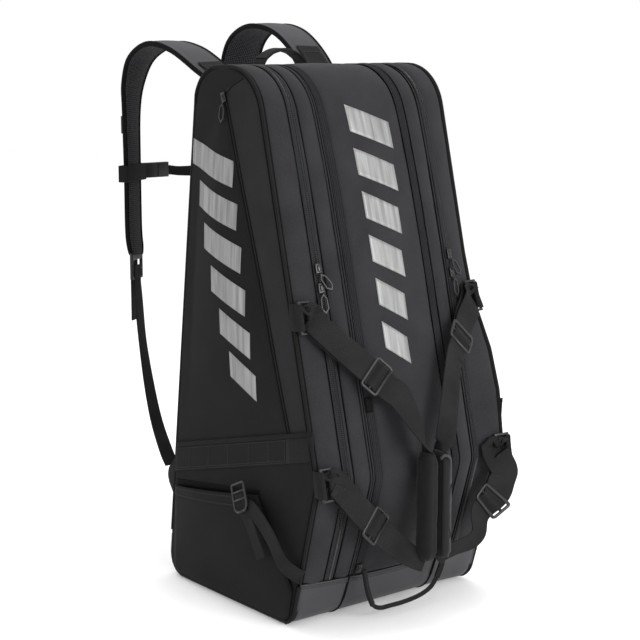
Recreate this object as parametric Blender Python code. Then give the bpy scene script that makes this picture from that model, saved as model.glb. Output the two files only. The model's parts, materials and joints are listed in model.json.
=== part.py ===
"""Racket tournament bag, standing on its wide end.

Metres, +Z up. The origin is the middle of the flat base, +X runs to the right across the front
face, -Y is the front (zips and carry handles) and +Y is the back (shoulder straps).
"""

import math

import bmesh
import bpy
from mathutils import Matrix, Vector

# Driving dimensions of the body
HEIGHT = 0.770
HALF_WIDTH = 0.165
HALF_DEPTH = 0.155
ARC_STEPS = 5
# Side view of the body: corner depth, corner height, corner radius, straight steps to the next one
CORNERS = (
    (-HALF_DEPTH, 0.0, 0.035, 3),
    (-0.213, 0.215, 0.040, 8),
    (-0.079, HEIGHT, 0.075, 3),
    (0.062, HEIGHT, 0.060, 1),
    (HALF_DEPTH, 0.0, 0.030, 1),
)
CROWN = 0.024
WALL = 0.004
BACK_THICKNESS = 0.010
GAP = 0.0005

# Places of the seams across the front, measured from the middle
MAIN_ZIP = 0.120
CENTRE_ZIP = 0.0735
DIVIDER = 0.080
ZIP_WIDTH = 0.0064
TUB_TOP = 0.062
SKIRT = 0.066

# Soft goods
STRAP_WIDTH = 0.038
STRAP_THICKNESS = 0.002
PAD_WIDTH = 0.064
PAD_THICKNESS = 0.009
PAD_TURN = math.radians(32)
PAD_MIDDLE = Vector((0.104, 0.334, 0.0))
STERNUM_HEIGHT = 0.598
GRIP_LOW, GRIP_HIGH = 0.086, 0.246
GRIP_DEPTH = -0.262

# Colours: base colour, roughness
FABRIC = ((0.030, 0.029, 0.030, 1.0), 0.85)
TARPAULIN = ((0.045, 0.045, 0.047, 1.0), 0.45)
WEBBING = ((0.024, 0.024, 0.023, 1.0), 0.80)
PLASTIC = ((0.016, 0.016, 0.017, 1.0), 0.35)
METAL = ((0.020, 0.020, 0.021, 1.0), 0.40)
LINING = ((0.022, 0.022, 0.023, 1.0), 0.90)


def clear_scene():
    for old in list(bpy.data.objects):
        bpy.data.objects.remove(old, do_unlink=True)


def material_for(name, finish):
    colour, roughness = finish
    material = bpy.data.materials.new(name)
    material.use_nodes = True
    shader = material.node_tree.nodes["Principled BSDF"]
    shader.inputs["Base Color"].default_value = colour
    shader.inputs["Roughness"].default_value = roughness
    shader.inputs["Metallic"].default_value = 0.6 if finish is METAL else 0.0
    return material


PIVOTS = {None: (None, Vector((0, 0, 0)))}


def pivot(name, position, parent=None):
    """An empty on a joint's axis; pieces that move with the joint are parented to it."""
    above, above_at = PIVOTS[parent]
    empty = bpy.data.objects.new(name, None)
    bpy.context.collection.objects.link(empty)
    empty.parent = above
    empty.location = Vector(position) - above_at
    PIVOTS[name] = (empty, Vector(position))


def add_object(name, bm, finish, on=None):
    bmesh.ops.remove_doubles(bm, verts=bm.verts, dist=1e-6)
    bmesh.ops.recalc_face_normals(bm, faces=bm.faces)
    mesh = bpy.data.meshes.new(name)
    bm.to_mesh(mesh)
    bm.free()
    empty, at = PIVOTS[on]
    mesh.transform(Matrix.Translation(-at))
    mesh.materials.append(material_for(name, finish))
    piece = bpy.data.objects.new(name, mesh)
    bpy.context.collection.objects.link(piece)
    piece.parent = empty
    return piece


def cut_with(piece, cutter, operation="DIFFERENCE"):
    cutter.hide_render = True
    cutter.display_type = "WIRE"
    boolean = piece.modifiers.new(operation.title(), "BOOLEAN")
    boolean.operation = operation
    boolean.solver = "EXACT"
    boolean.object = cutter


# ---------------------------------------------------------------- side view and front surface
def turned(vector, angle):
    """A 2-D vector turned clockwise."""
    return Matrix.Rotation(-angle, 2) @ vector


def corner_arcs(inset):
    """One list of (depth, height) points for each rounded corner, clockwise from the base's front."""
    lines = []
    for here, after in zip(CORNERS, CORNERS[1:] + CORNERS[:1]):
        along = (Vector(after[:2]) - Vector(here[:2])).normalized()
        inward = Vector((along.y, -along.x))
        lines.append((Vector(here[:2]) + inward * inset, along, inward))
    arcs = []
    for i, corner in enumerate(CORNERS):
        start, along_in, inward = lines[i - 1]
        point, along_out, _ = lines[i]
        across = along_in.x * along_out.y - along_in.y * along_out.x
        gone = (point - start).x * along_out.y - (point - start).y * along_out.x
        meeting = start + along_in * (gone / across)
        turn = math.acos(max(-1.0, min(1.0, along_in.dot(along_out))))
        radius = max(corner[2] - inset, 0.003)
        centre = meeting - along_in * radius * math.tan(turn / 2) + inward * radius
        steps = range(ARC_STEPS + 1)
        arcs.append([centre + turned(-inward, turn * k / ARC_STEPS) * radius for k in steps])
    return arcs


def joined(arcs, closed):
    points = []
    for i, arc in enumerate(arcs):
        points += arc
        if i + 1 < len(arcs) or closed:
            after = arcs[(i + 1) % len(arcs)][0]
            count = CORNERS[i][3]
            points += [arc[-1].lerp(after, k / count) for k in range(1, count)]
    return points


def outline(inset=0.0):
    return joined(corner_arcs(inset), closed=True)


def front_path(inset=0.0, low=SKIRT):
    """From the skirt up the front, over the top and round to the back."""
    arcs = corner_arcs(inset)[:4]
    base, knee = arcs[0][-1], arcs[1][0]
    arcs[0] = [base.lerp(knee, (low - base.y) / (knee.y - base.y))]
    return joined(arcs, closed=False)


def clipped(points, keep, edge):
    """The part of a polygon where keep(point) is over edge."""
    result = []
    for here, after in zip(points, points[1:] + points[:1]):
        a, b = keep(here) - edge, keep(after) - edge
        if a >= 0:
            result.append(here)
        if (a > 0 > b) or (a < 0 < b):
            result.append(here.lerp(after, a / (a - b)))
    return result


def back_y(z):
    """The back's outer line."""
    return HALF_DEPTH + (CORNERS[3][0] - HALF_DEPTH) * z / HEIGHT


def back_point(z, inset):
    lean = math.atan((HALF_DEPTH - CORNERS[3][0]) / HEIGHT)
    return Vector((back_y(z) - inset / math.cos(lean), z))


def crowned(x, y, z):
    """The front swells forwards between the side seams."""
    rise = 1 - abs(2 * min(max(z / HEIGHT, 0), 1) - 1) ** 4
    across = max(0.0, 1 - (x / HALF_WIDTH) ** 2)
    front = min(max((0.02 - y) / 0.06, 0.0), 1.0)
    return Vector((x, y - CROWN * rise * across * front, z))


def face_y(x, z):
    path = front_path(0.0, 0.04)
    for below, above in zip(path, path[1:]):
        if below.y <= z <= above.y:
            y = below.lerp(above, (z - below.y) / (above.y - below.y)).x
            return crowned(x, y, z).y
    return path[0].x


def face_point(x, z, stand=0.0):
    """A point that stands in front of the front face."""
    return Vector((x, face_y(x, z), z)) + face_frame(x, z)[2] * stand


def face_frame(x, z):
    """Directions on the front face: to the right, up, and out of the face."""
    step = 0.01
    slope_x = (face_y(x + step, z) - face_y(x - step, z)) / (2 * step)
    slope_z = (face_y(x, z + step) - face_y(x, z - step)) / (2 * step)
    out = Vector((slope_x, -1, slope_z)).normalized()
    up = Vector((0, slope_z, 1))
    up = (up - out * up.dot(out)).normalized()
    return up.cross(out), up, out


# ---------------------------------------------------------------- solids
def prism(name, points, xs, finish, on=None):
    """A side-view polygon swept across the bag through the widths xs, crowned at the front."""
    bm = bmesh.new()
    rings = [[bm.verts.new(crowned(x, p.x, p.y)) for p in points] for x in xs]
    count = len(points)
    for near, far in zip(rings, rings[1:]):
        for i in range(count):
            j = (i + 1) % count
            bm.faces.new((near[i], near[j], far[j], far[i]))
    bm.faces.new(rings[0])
    bm.faces.new(list(reversed(rings[-1])))
    return add_object(name, bm, finish, on)


def strip(name, xs, inset, thickness, finish, on=None):
    """A fabric strip that runs up the front, over the top and to the back."""
    outer, inner = front_path(inset), front_path(inset + thickness)
    bm = bmesh.new()
    grids = []
    for path in (outer, inner):
        grids.append([[bm.verts.new(crowned(x, p.x, p.y)) for x in xs] for p in path])
    rows, columns = len(outer), len(xs)
    for grid in grids:
        for i in range(rows - 1):
            for j in range(columns - 1):
                bm.faces.new((grid[i][j], grid[i + 1][j], grid[i + 1][j + 1], grid[i][j + 1]))
    a, b = grids
    for j in (0, columns - 1):
        for i in range(rows - 1):
            bm.faces.new((a[i][j], b[i][j], b[i + 1][j], a[i + 1][j]))
    for i in (0, rows - 1):
        for j in range(columns - 1):
            bm.faces.new((a[i][j], a[i][j + 1], b[i][j + 1], b[i][j]))
    return add_object(name, bm, finish, on)


def cells(name, cuts, holes, frame, finish, on=None):
    """A body of boxes between the cuts along three directions, less the boxes in holes."""
    sizes = [len(c) - 1 for c in cuts]
    solid = {
        (i, j, k)
        for i in range(sizes[0])
        for j in range(sizes[1])
        for k in range(sizes[2])
        if not holes(i, j, k)
    }
    bm = bmesh.new()
    corners = {}

    def corner(i, j, k):
        if (i, j, k) not in corners:
            corners[i, j, k] = bm.verts.new(frame @ Vector((cuts[0][i], cuts[1][j], cuts[2][k])))
        return corners[i, j, k]

    for cell in solid:
        for axis in range(3):
            for side in (0, 1):
                beside = list(cell)
                beside[axis] += 1 if side else -1
                if tuple(beside) in solid:
                    continue
                u, v = [a for a in range(3) if a != axis]
                ring = []
                for du, dv in ((0, 0), (1, 0), (1, 1), (0, 1)):
                    at = list(cell)
                    at[axis] += side
                    at[u] += du
                    at[v] += dv
                    ring.append(corner(*at))
                bm.faces.new(ring)
    return add_object(name, bm, finish, on)


def frame_at(origin, right, up, out):
    rows = Matrix((right, up, out)).transposed().to_4x4()
    return Matrix.Translation(origin) @ rows


def smooth_route(points, steps=4):
    """A smooth curve through the points."""
    result = []
    last = len(points) - 1
    for i in range(last):
        a, b = points[max(i - 1, 0)], points[i]
        c, d = points[i + 1], points[min(i + 2, last)]
        for k in range(steps):
            t = k / steps
            result.append(
                ((2 * b) + (c - a) * t + (2 * a - 5 * b + 4 * c - d) * t**2 + (3 * b - a - 3 * c + d) * t**3) / 2
            )
    result.append(points[-1].copy())
    return result


def ribbon(name, route, across, width, thickness, finish, on=None, steps=4):
    """A flat strap along a route; across is the direction of its width, and its length scales it."""
    path = smooth_route(route, steps)
    turns = smooth_route(across, steps)
    bm = bmesh.new()
    rings = []
    for i, point in enumerate(path):
        along = path[min(i + 1, len(path) - 1)] - path[max(i - 1, 0)]
        wide = (turns[i] - along * turns[i].dot(along) / along.length_squared).normalized()
        thick = along.cross(wide).normalized()
        wide *= turns[i].length
        ring = []
        for u, v in ((-1, -1), (1, -1), (1, 1), (-1, 1)):
            ring.append(bm.verts.new(point + wide * (u * width / 2) + thick * (v * thickness / 2)))
        rings.append(ring)
    for near, far in zip(rings, rings[1:]):
        for i in range(4):
            j = (i + 1) % 4
            bm.faces.new((near[i], near[j], far[j], far[i]))
    bm.faces.new(rings[0])
    bm.faces.new(rings[-1])
    return add_object(name, bm, finish, on)


def sided(side, *xyz):
    return Vector((side * xyz[0], xyz[1], xyz[2]))


def side_name(side):
    return "left" if side < 0 else "right"


# ---------------------------------------------------------------- body of the bag
def make_back_panel():
    top = front_path()[-1].y - WALL
    points = [
        back_point(SKIRT, 0),
        back_point(SKIRT, BACK_THICKNESS),
        back_point(top, BACK_THICKNESS),
        back_point(top, 0),
    ]
    edge = HALF_WIDTH - WALL - GAP
    prism("back_panel", points, (-edge, edge), FABRIC)


def make_base_tub():
    outer = clipped(outline(), lambda p: -p.y, -TUB_TOP)
    tub = prism("base_tub", outer, (-HALF_WIDTH, 0, HALF_WIDTH), TARPAULIN)
    hollow = clipped(outline(WALL), lambda p: p.y, 2 * WALL)
    hollow = clipped(hollow, lambda p: -p.y, -(TUB_TOP + 0.02))
    inside = HALF_WIDTH - WALL
    cutter = prism("tub_hollow", hollow, (-inside, 0, inside), LINING)
    cut_with(tub, cutter)


def make_shell(name, side, near, far, wall_at, back, finish, on=None):
    """A wall across the compartment with a strip along its front and top, open at the back."""
    path = front_path()
    outer = path + [back_point(path[-1].y, back), back_point(SKIRT, back)]
    xs = (side * near, side * (near + far) / 2, side * far)
    shell = prism(name, outer, xs, finish, on)
    hollow = front_path(WALL)
    beyond = 0.05
    hollow += [
        Vector((path[-1].x + beyond, path[-1].y - WALL)),
        Vector((HALF_DEPTH + beyond, SKIRT - beyond)),
        Vector((hollow[0].x, SKIRT - beyond)),
    ]
    if wall_at == "far":
        widths = (near - beyond, far - WALL)
    else:
        widths = (near + WALL, far + beyond)
    xs = tuple(side * w for w in (widths[0], sum(widths) / 2, widths[1]))
    cutter = prism(name + "_hollow", hollow, xs, LINING, on)
    cut_with(shell, cutter)


def make_fixed_body():
    make_back_panel()
    make_base_tub()
    half = CENTRE_ZIP - ZIP_WIDTH - GAP
    xs = [half * k / 3 for k in range(-3, 4)]
    strip("centre_front_panel", xs, 0.0, WALL, FABRIC)
    for side in (-1, 1):
        name = side_name(side)
        edge = MAIN_ZIP - ZIP_WIDTH / 2 - GAP
        make_shell(name + "_inner_shell", side, DIVIDER, edge, "near", BACK_THICKNESS + GAP, FABRIC)
        low, high = MAIN_ZIP - ZIP_WIDTH / 2, MAIN_ZIP + ZIP_WIDTH / 2
        strip(name + "_main_zip", (side * low, side * high), 0.001, 0.002, METAL)
        low, high = CENTRE_ZIP - ZIP_WIDTH, DIVIDER - GAP
        strip(name + "_centre_zip", (side * low, side * high), 0.001, 0.002, METAL)


# ---------------------------------------------------------------- side covers
HINGE_FOOT = Vector((HALF_WIDTH, HALF_DEPTH, 0.0))
HINGE_TOP = Vector((HALF_WIDTH, CORNERS[3][0], HEIGHT))
LONG_POCKET = ((-0.002, 0.708), (-0.125, 0.292), (0.104, 0.232), (0.058, 0.640))
LONG_POCKET_RISE = 0.014
SIDE_ZIP_TOP = Vector((0.0, -0.010, 0.727))
SIDE_ZIP_FOOT = Vector((0.0, -0.147, 0.285))
LOWER_POCKET = ((0.112, 0.074), (0.108, 0.142), (-0.084, 0.174), (-0.156, 0.074))
LOWER_POCKET_RISE = 0.016
POCKET_WALL = 0.0025


def make_long_pocket(side, on):
    """The swelling pocket on the side, a crowned pad between the long zip and the back edge."""
    a, b, c, d = (Vector(p) for p in LONG_POCKET)
    columns, rows = 8, 12
    floor = HALF_WIDTH + GAP
    bm = bmesh.new()
    top, under = [], []
    for i in range(rows + 1):
        v = i / rows
        top_row, under_row = [], []
        for j in range(columns + 1):
            u = j / columns
            p = a.lerp(b, v).lerp(d.lerp(c, v), u)
            swell = (math.sin(math.pi * u) * math.sin(math.pi * v)) if 0 < u < 1 and 0 < v < 1 else 0
            rise = 0.001 + LONG_POCKET_RISE * swell**0.7
            top_row.append(bm.verts.new(sided(side, floor + rise, p.x, p.y)))
            under_row.append(bm.verts.new(sided(side, floor, p.x, p.y)))
        top.append(top_row)
        under.append(under_row)
    for grid in (top, under):
        for i in range(rows):
            for j in range(columns):
                bm.faces.new((grid[i][j], grid[i + 1][j], grid[i + 1][j + 1], grid[i][j + 1]))
    for i in range(rows):
        for j in (0, columns):
            bm.faces.new((top[i][j], top[i + 1][j], under[i + 1][j], under[i][j]))
    for j in range(columns):
        for i in (0, rows):
            bm.faces.new((top[i][j], top[i][j + 1], under[i][j + 1], under[i][j]))
    add_object(side_name(side) + "_long_pocket", bm, FABRIC, on)


def plate(name, points, low, high, side, finish, on):
    """A flat side-view polygon between two widths."""
    bm = bmesh.new()
    near = [bm.verts.new(sided(side, low, *p)) for p in points]
    far = [bm.verts.new(sided(side, high, *p)) for p in points]
    count = len(points)
    for i in range(count):
        j = (i + 1) % count
        bm.faces.new((near[i], near[j], far[j], far[i]))
    bm.faces.new(near)
    bm.faces.new(list(reversed(far)))
    return add_object(name, bm, finish, on)


def make_lower_pocket(side, on):
    name = side_name(side) + "_lower_pocket"
    low = HALF_WIDTH + GAP
    high = low + LOWER_POCKET_RISE
    pocket = plate(name, LOWER_POCKET, low, high, side, FABRIC, on)
    (foot_y, foot_z), (back_y, back_z), (hem_y, hem_z), (front_y, front_z) = LOWER_POCKET
    t = 2 * POCKET_WALL
    inside = (
        (foot_y - t, foot_z + t),
        (back_y - t, back_z + 0.03),
        (hem_y + t, hem_z + 0.03),
        (hem_y + t, hem_z - t),
        (front_y + 2.5 * t, front_z + t),
    )
    hollow = plate(name + "_hollow", inside, low - 0.01, high - POCKET_WALL, side, LINING, on)
    cut_with(pocket, hollow)


def make_side_strap(side, on):
    """The compression strap of the lower pocket: ladder lock at the hem's corner, strap to the front seam."""
    name = side_name(side)
    lock = sided(side, HALF_WIDTH + LOWER_POCKET_RISE + 0.006, -0.066, 0.172)
    right = Vector((0, -0.75, -0.66)).normalized()
    out = Vector((side, 0, 0))
    up = out.cross(right)
    frame = frame_at(lock, right, up, out)
    cuts = (
        (-0.014, -0.0105, -0.003, 0.001, 0.0105, 0.014),
        (-0.017, -0.0135, 0.0135, 0.017),
        (-0.002, 0.002),
    )
    cells(name + "_side_ladder_lock", cuts, lambda i, j, k: j == 1 and i in (1, 3), frame, PLASTIC, on)
    start = lock + right * 0.016 - out * 0.0005
    route = [start, start + right * 0.035, start + right * 0.085]
    route.append(sided(side, HALF_WIDTH + 0.018, -0.161, 0.092))
    route.append(sided(side, HALF_WIDTH + 0.008, -0.174, 0.082))
    ribbon(name + "_side_strap", route, [up] * 5, 0.025, STRAP_THICKNESS, WEBBING, on)


def zip_slider(name, frame, on):
    """The slider's body with the bridge that its pull hangs from."""
    cuts = ((-0.0045, -0.002, 0.002, 0.0045), (-0.007, -0.004, 0.004, 0.007), (0.0, 0.003, 0.005))
    cells(name, cuts, lambda i, j, k: k == 1 and (i, j) != (1, 1), frame, METAL, on)


def pull_tab(name, frame, on):
    """A flat pull with a long hole, hanging under its hinge."""
    cuts = ((-0.005, -0.002, 0.002, 0.005), (-0.030, -0.026, -0.008, -0.0015), (0.0, 0.0022))
    cells(name, cuts, lambda i, j, k: (i, j) == (1, 1), frame, PLASTIC, on)


def make_side_zip_pull(side, on):
    name = side_name(side) + "_side_zip"
    out = Vector((side, 0, 0))
    along = (SIDE_ZIP_TOP - SIDE_ZIP_FOOT).normalized()
    at = SIDE_ZIP_TOP + out * (HALF_WIDTH + 0.0025)
    pivot(name + "_slider_slide", at, on)
    zip_slider(name + "_slider", frame_at(at, along.cross(out), along, out), name + "_slider_slide")
    hang = Vector((0, -0.15, 1)).normalized()
    hinge = at - along * 0.0075 + out * 0.004
    pivot(name + "_pull_hinge", hinge, name + "_slider_slide")
    pull_tab(name + "_pull", frame_at(hinge, hang.cross(out), hang, out), name + "_pull_hinge")


def make_cover(side):
    name = side_name(side)
    on = name + "_cover_hinge"
    foot = sided(side, *HINGE_FOOT)
    top = sided(side, *HINGE_TOP)
    pivot(on, foot.lerp(top, 0.5))
    edge = MAIN_ZIP + ZIP_WIDTH / 2 + GAP
    make_shell(name + "_cover_shell", side, edge, HALF_WIDTH, "far", 0.0, FABRIC, on)
    make_long_pocket(side, on)
    make_lower_pocket(side, on)
    make_side_strap(side, on)
    make_side_zip_pull(side, on)


# ---------------------------------------------------------------- zips on the front
PULL_LEAN = math.radians(31)


def make_front_zip_pulls(side):
    name = side_name(side)
    for label, z, travel in (("upper", 0.500, 0.155), ("lower", 0.474, -0.195)):
        title = f"{name}_main_{label}"
        x = side * MAIN_ZIP
        right, up, out = face_frame(x, z)
        at = face_point(x, z, 0.002)
        end = face_point(x, z + travel, 0.002)
        along = (end - at).normalized() * (1 if travel > 0 else -1)
        pivot(title + "_slide", at)
        zip_slider(title + "_slider", frame_at(at, along.cross(out), along, out), title + "_slide")
        hinge = at - along * 0.0075 + out * 0.004
        pivot(title + "_pull_hinge", hinge, title + "_slide")
        lean = Matrix.Rotation(PULL_LEAN if label == "upper" else 0.0, 3, out)
        frame = frame_at(hinge, lean @ along.cross(out), lean @ along, out)
        pull_tab(title + "_pull", frame, title + "_pull_hinge")
    z = 0.078
    x = side * CENTRE_ZIP
    right, up, out = face_frame(x, z)
    at = face_point(x, z, 0.0015)
    pivot(f"{name}_centre_slide", at)
    zip_slider(f"{name}_centre_slider", frame_at(at, right, up, out), f"{name}_centre_slide")


LOOP_WIDTH = 0.008
LOOP_ROUTE = (
    (-0.0735, -0.2005, 0.066),
    (-0.0720, -0.2035, 0.052),
    (-0.0660, -0.2040, 0.035),
    (-0.0560, -0.2030, 0.019),
    (-0.0420, -0.2020, 0.0085),
    (-0.0240, -0.2015, 0.0050),
    (-0.0040, -0.2015, 0.0044),
    (0.0160, -0.2015, 0.0046),
    (0.0350, -0.2020, 0.0062),
    (0.0500, -0.2030, 0.0120),
    (0.0610, -0.2040, 0.0240),
    (0.0680, -0.2040, 0.0380),
    (0.0720, -0.2035, 0.0520),
    (0.0735, -0.2005, 0.066),
)


def make_pull_loop():
    """The flat cord that ties the two centre sliders together."""
    on = "left_centre_slide"
    points = smooth_route([Vector(p) for p in LOOP_ROUTE], 3)
    curve = bpy.data.curves.new("centre_pull_loop", "CURVE")
    curve.dimensions = "3D"
    curve.bevel_depth = LOOP_WIDTH / 2
    curve.bevel_resolution = 2
    curve.use_fill_caps = True
    spline = curve.splines.new("POLY")
    spline.points.add(len(points) - 1)
    empty, at = PIVOTS[on]
    for dot, point in zip(spline.points, points):
        dot.co = (*(point - at), 1.0)
    curve.materials.append(material_for("centre_pull_loop", WEBBING))
    piece = bpy.data.objects.new("centre_pull_loop", curve)
    bpy.context.collection.objects.link(piece)
    piece.parent = empty


# ---------------------------------------------------------------- carry handles
RING_HALF = 0.023
RING_STAND = 0.0105


# Where the upper carry straps leave their rings, how steeply they fall and how far they stand out
STRAP_START = (0.1385, 0.4265)
STRAP_SLOPE = 1.05
START_STAND, GLIDE_STAND = 0.013, 0.019


def ring_at(side, x, z):
    return face_point(side * x, z, RING_STAND)


def strap_ring(name, origin, along, side, on):
    """A rectangular ring; its outer bar lies on the handle's hinge axis."""
    right = Vector((side * -1, 0, 0))
    right = (right - along * right.dot(along)).normalized()
    cuts = ((-0.002, 0.002, 0.014, 0.018), (-RING_HALF, -0.0195, 0.0195, RING_HALF), (-0.002, 0.002))
    frame = frame_at(origin, right, along, right.cross(along))
    cells(name, cuts, lambda i, j, k: (i, j) == (1, 1), frame, PLASTIC, on)


def tri_glide(name, centre, along, across, slide, on):
    """A slider with three bars; the strap runs behind the middle one."""
    out = along.cross(across).normalized()
    pivot(slide, centre, on)
    frame = frame_at(centre, along, across, out)
    cuts = (
        (-0.0125, -0.009, -0.002, 0.002, 0.009, 0.0125),
        (-RING_HALF, -0.0195, 0.0195, RING_HALF),
        (-0.0065, -0.0022, 0.0022, 0.0045),
    )

    def open_cell(i, j, k):
        if j != 1:
            return k == 0
        return k == 1 or i in (1, 3) or (k == 0) or (k == 2 and i not in (0, 2, 4))

    cells(name, cuts, open_cell, frame, PLASTIC, slide)


def make_handle(side, glide_x, low_route):
    name = side_name(side)
    cover = name + "_cover_hinge"
    on = name + "_handle_hinge"
    high, low = ring_at(side, 0.159, 0.436), ring_at(side, 0.163, 0.218)
    axis = (high - low).normalized()
    pivot(on, high.lerp(low, 0.5), cover)
    strap_ring(name + "_upper_ring", high, axis, side, on)
    strap_ring(name + "_lower_ring", low, axis, side, on)

    x0, z0 = STRAP_START
    drop = (x0 - glide_x) * STRAP_SLOPE
    start = face_point(side * x0, z0, START_STAND)
    glide = face_point(side * glide_x, z0 - drop, GLIDE_STAND)
    run = (glide - start).normalized()
    out = face_frame(side * glide_x, z0 - drop)[2]
    across = out.cross(run).normalized()
    route = [start, glide, glide + run * 0.024, glide + run * 0.044]
    route.append(sided(side, 0.0220, GRIP_DEPTH, GRIP_HIGH + 0.030))
    route.append(sided(side, 0.0125, GRIP_DEPTH, GRIP_HIGH + 0.005))
    spans = [across * share for share in (1, 1, 1, 1, 0.6, 0.4)]
    ribbon(name + "_upper_strap", route, spans, STRAP_WIDTH, STRAP_THICKNESS, WEBBING, on)
    tri_glide(name + "_upper_glide", glide, run, across, name + "_upper_glide_slide", on)

    points = [Vector(p) for p in low_route]
    facing = Vector((0, -1, 0.2))
    spans = []
    for i in range(len(points)):
        along = points[min(i + 1, len(points) - 1)] - points[max(i - 1, 0)]
        spans.append(along.cross(facing).normalized())
    for i, share in ((-3, 0.85), (-2, 0.6), (-1, 0.5)):
        spans[i] *= share
    ribbon(name + "_lower_strap", points, spans, STRAP_WIDTH, STRAP_THICKNESS, WEBBING, on)

    centre = sided(side, 0.0120, GRIP_DEPTH, (GRIP_LOW + GRIP_HIGH) / 2)
    half_height = (GRIP_HIGH - GRIP_LOW) / 2
    cuts = (
        (-0.0114, -0.005, 0.005, 0.0114),
        (-0.016, -0.009, 0.009, 0.016),
        (-half_height, half_height),
    )
    cells(
        name + "_grip",
        cuts,
        lambda i, j, k: i in (0, 2) and j in (0, 2),
        Matrix.Translation(centre),
        FABRIC,
        on,
    )


def make_handles():
    left_low = (
        (-0.1445, face_y(-0.144, 0.212) - 0.013, 0.212),
        (-0.1150, face_y(-0.115, 0.184) - 0.020, 0.184),
        (-0.0830, face_y(-0.083, 0.152) - 0.024, 0.152),
        (-0.0570, -0.240, 0.126),
        (-0.0430, -0.249, 0.1130),
        (-0.0325, -0.256, 0.1045),
    )
    right_low = (
        (0.1445, face_y(0.144, 0.212) - 0.014, 0.212),
        (0.1530, face_y(0.150, 0.186) - 0.026, 0.186),
        (0.1390, -0.238, 0.157),
        (0.1120, -0.240, 0.130),
        (0.0860, -0.243, 0.109),
        (0.0520, -0.248, 0.097),
        (0.0242, -0.258, 0.098),
    )
    make_handle(-1, 0.066, left_low)
    make_handle(1, 0.098, right_low)


# ---------------------------------------------------------------- carrying harness on the back
# How each shoulder strap arches over to the back: depth and height, then width and turn along it
ARCHES = {
    -1: ((0.094, 0.741), (0.132, 0.764), (0.190, 0.791), (0.250, 0.799), (0.303, 0.778), (0.328, 0.738)),
    1: ((0.094, 0.744), (0.134, 0.786), (0.190, 0.818), (0.256, 0.826), (0.308, 0.802), (0.331, 0.752)),
}
ARCH_WIDTHS = (0.0880, 0.0920, 0.0960, 0.0990, 0.1015, 0.1030)
ARCH_TURNS = (0.0, 0.0, 0.05, 0.25, 0.6, 0.9)


def make_shoulder_strap(side):
    name = side_name(side)
    x_way = Vector((1, 0, 0))
    turned_way = Vector((math.cos(PAD_TURN), -side * math.sin(PAD_TURN), 0))
    lie = PAD_THICKNESS / 2 + 0.001
    low = sided(side, *PAD_MIDDLE)
    stops = [
        (sided(side, 0.0850, back_y(0.655) + lie, 0.655), 0.0),
        (sided(side, 0.0855, back_y(0.700) + lie + 0.001, 0.700), 0.0),
    ]
    for x, (y, z), turn in zip(ARCH_WIDTHS, ARCHES[side], ARCH_TURNS):
        stops.append((sided(side, x, y, z), turn))
    stops += [
        (Vector((low.x, low.y, 0.690)), 1.0),
        (Vector((low.x, low.y, 0.600)), 1.0),
        (Vector((low.x, low.y, 0.510)), 1.0),
        (Vector((low.x, low.y - 0.004, 0.476)), 1.0),
    ]
    route = [point for point, _ in stops]
    across = [x_way.lerp(turned_way, turn).normalized() for _, turn in stops]
    ribbon(name + "_shoulder_strap", route, across, PAD_WIDTH, PAD_THICKNESS, FABRIC, steps=3)

    out = Vector((0, 0, 1)).cross(turned_way).normalized()
    lock = Vector((low.x, low.y - 0.006, 0.4500))
    cuts = (
        (-0.019, -0.015, 0.015, 0.019),
        (-0.021, -0.017, -0.006, -0.002, 0.010, 0.0225),
        (-0.0025, 0.0025),
    )
    frame = frame_at(lock, turned_way, Vector((0, 0, 1)), out)
    cells(name + "_ladder_lock", cuts, lambda i, j, k: i == 1 and j in (1, 3), frame, PLASTIC)

    route = [
        Vector((low.x, low.y - 0.008, 0.4225)),
        sided(side, 0.1130, 0.308, 0.392),
        sided(side, 0.1280, 0.276, 0.340),
        sided(side, 0.1400, 0.240, 0.276),
        sided(side, 0.1480, 0.208, 0.225),
        sided(side, 0.1520, 0.172, 0.180),
        sided(side, 0.1520, back_y(0.15) + 0.002, 0.150),
    ]
    spans = [turned_way] * 3 + [x_way.lerp(turned_way, 0.6), x_way.lerp(turned_way, 0.3), x_way, x_way]
    ribbon(name + "_lower_webbing", route, spans, 0.024, STRAP_THICKNESS, WEBBING, steps=3)


CUFF_HALF = 0.013
CHEST_DEPTH = 0.3605


def pad_cuff(name, side, on):
    """The loop that holds the chest strap on a shoulder strap, with room to slide."""
    wide = Vector((math.cos(PAD_TURN), -side * math.sin(PAD_TURN), 0))
    out = Vector((0, 0, 1)).cross(wide)
    low = sided(side, *PAD_MIDDLE)
    frame = frame_at(Vector((low.x, low.y, STERNUM_HEIGHT)), wide, Vector((0, 0, 1)), out)
    inner_w, inner_t = PAD_WIDTH / 2 + 0.001, PAD_THICKNESS / 2 + 0.001
    cuts = (
        (-inner_w - 0.002, -inner_w, inner_w, inner_w + 0.002),
        (-CUFF_HALF, CUFF_HALF),
        (-inner_t - 0.002, -inner_t, inner_t, inner_t + 0.002),
    )
    return cells(name, cuts, lambda i, j, k: (i, k) == (1, 1), frame, WEBBING, on)


def whole(i, j, k):
    return False


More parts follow.
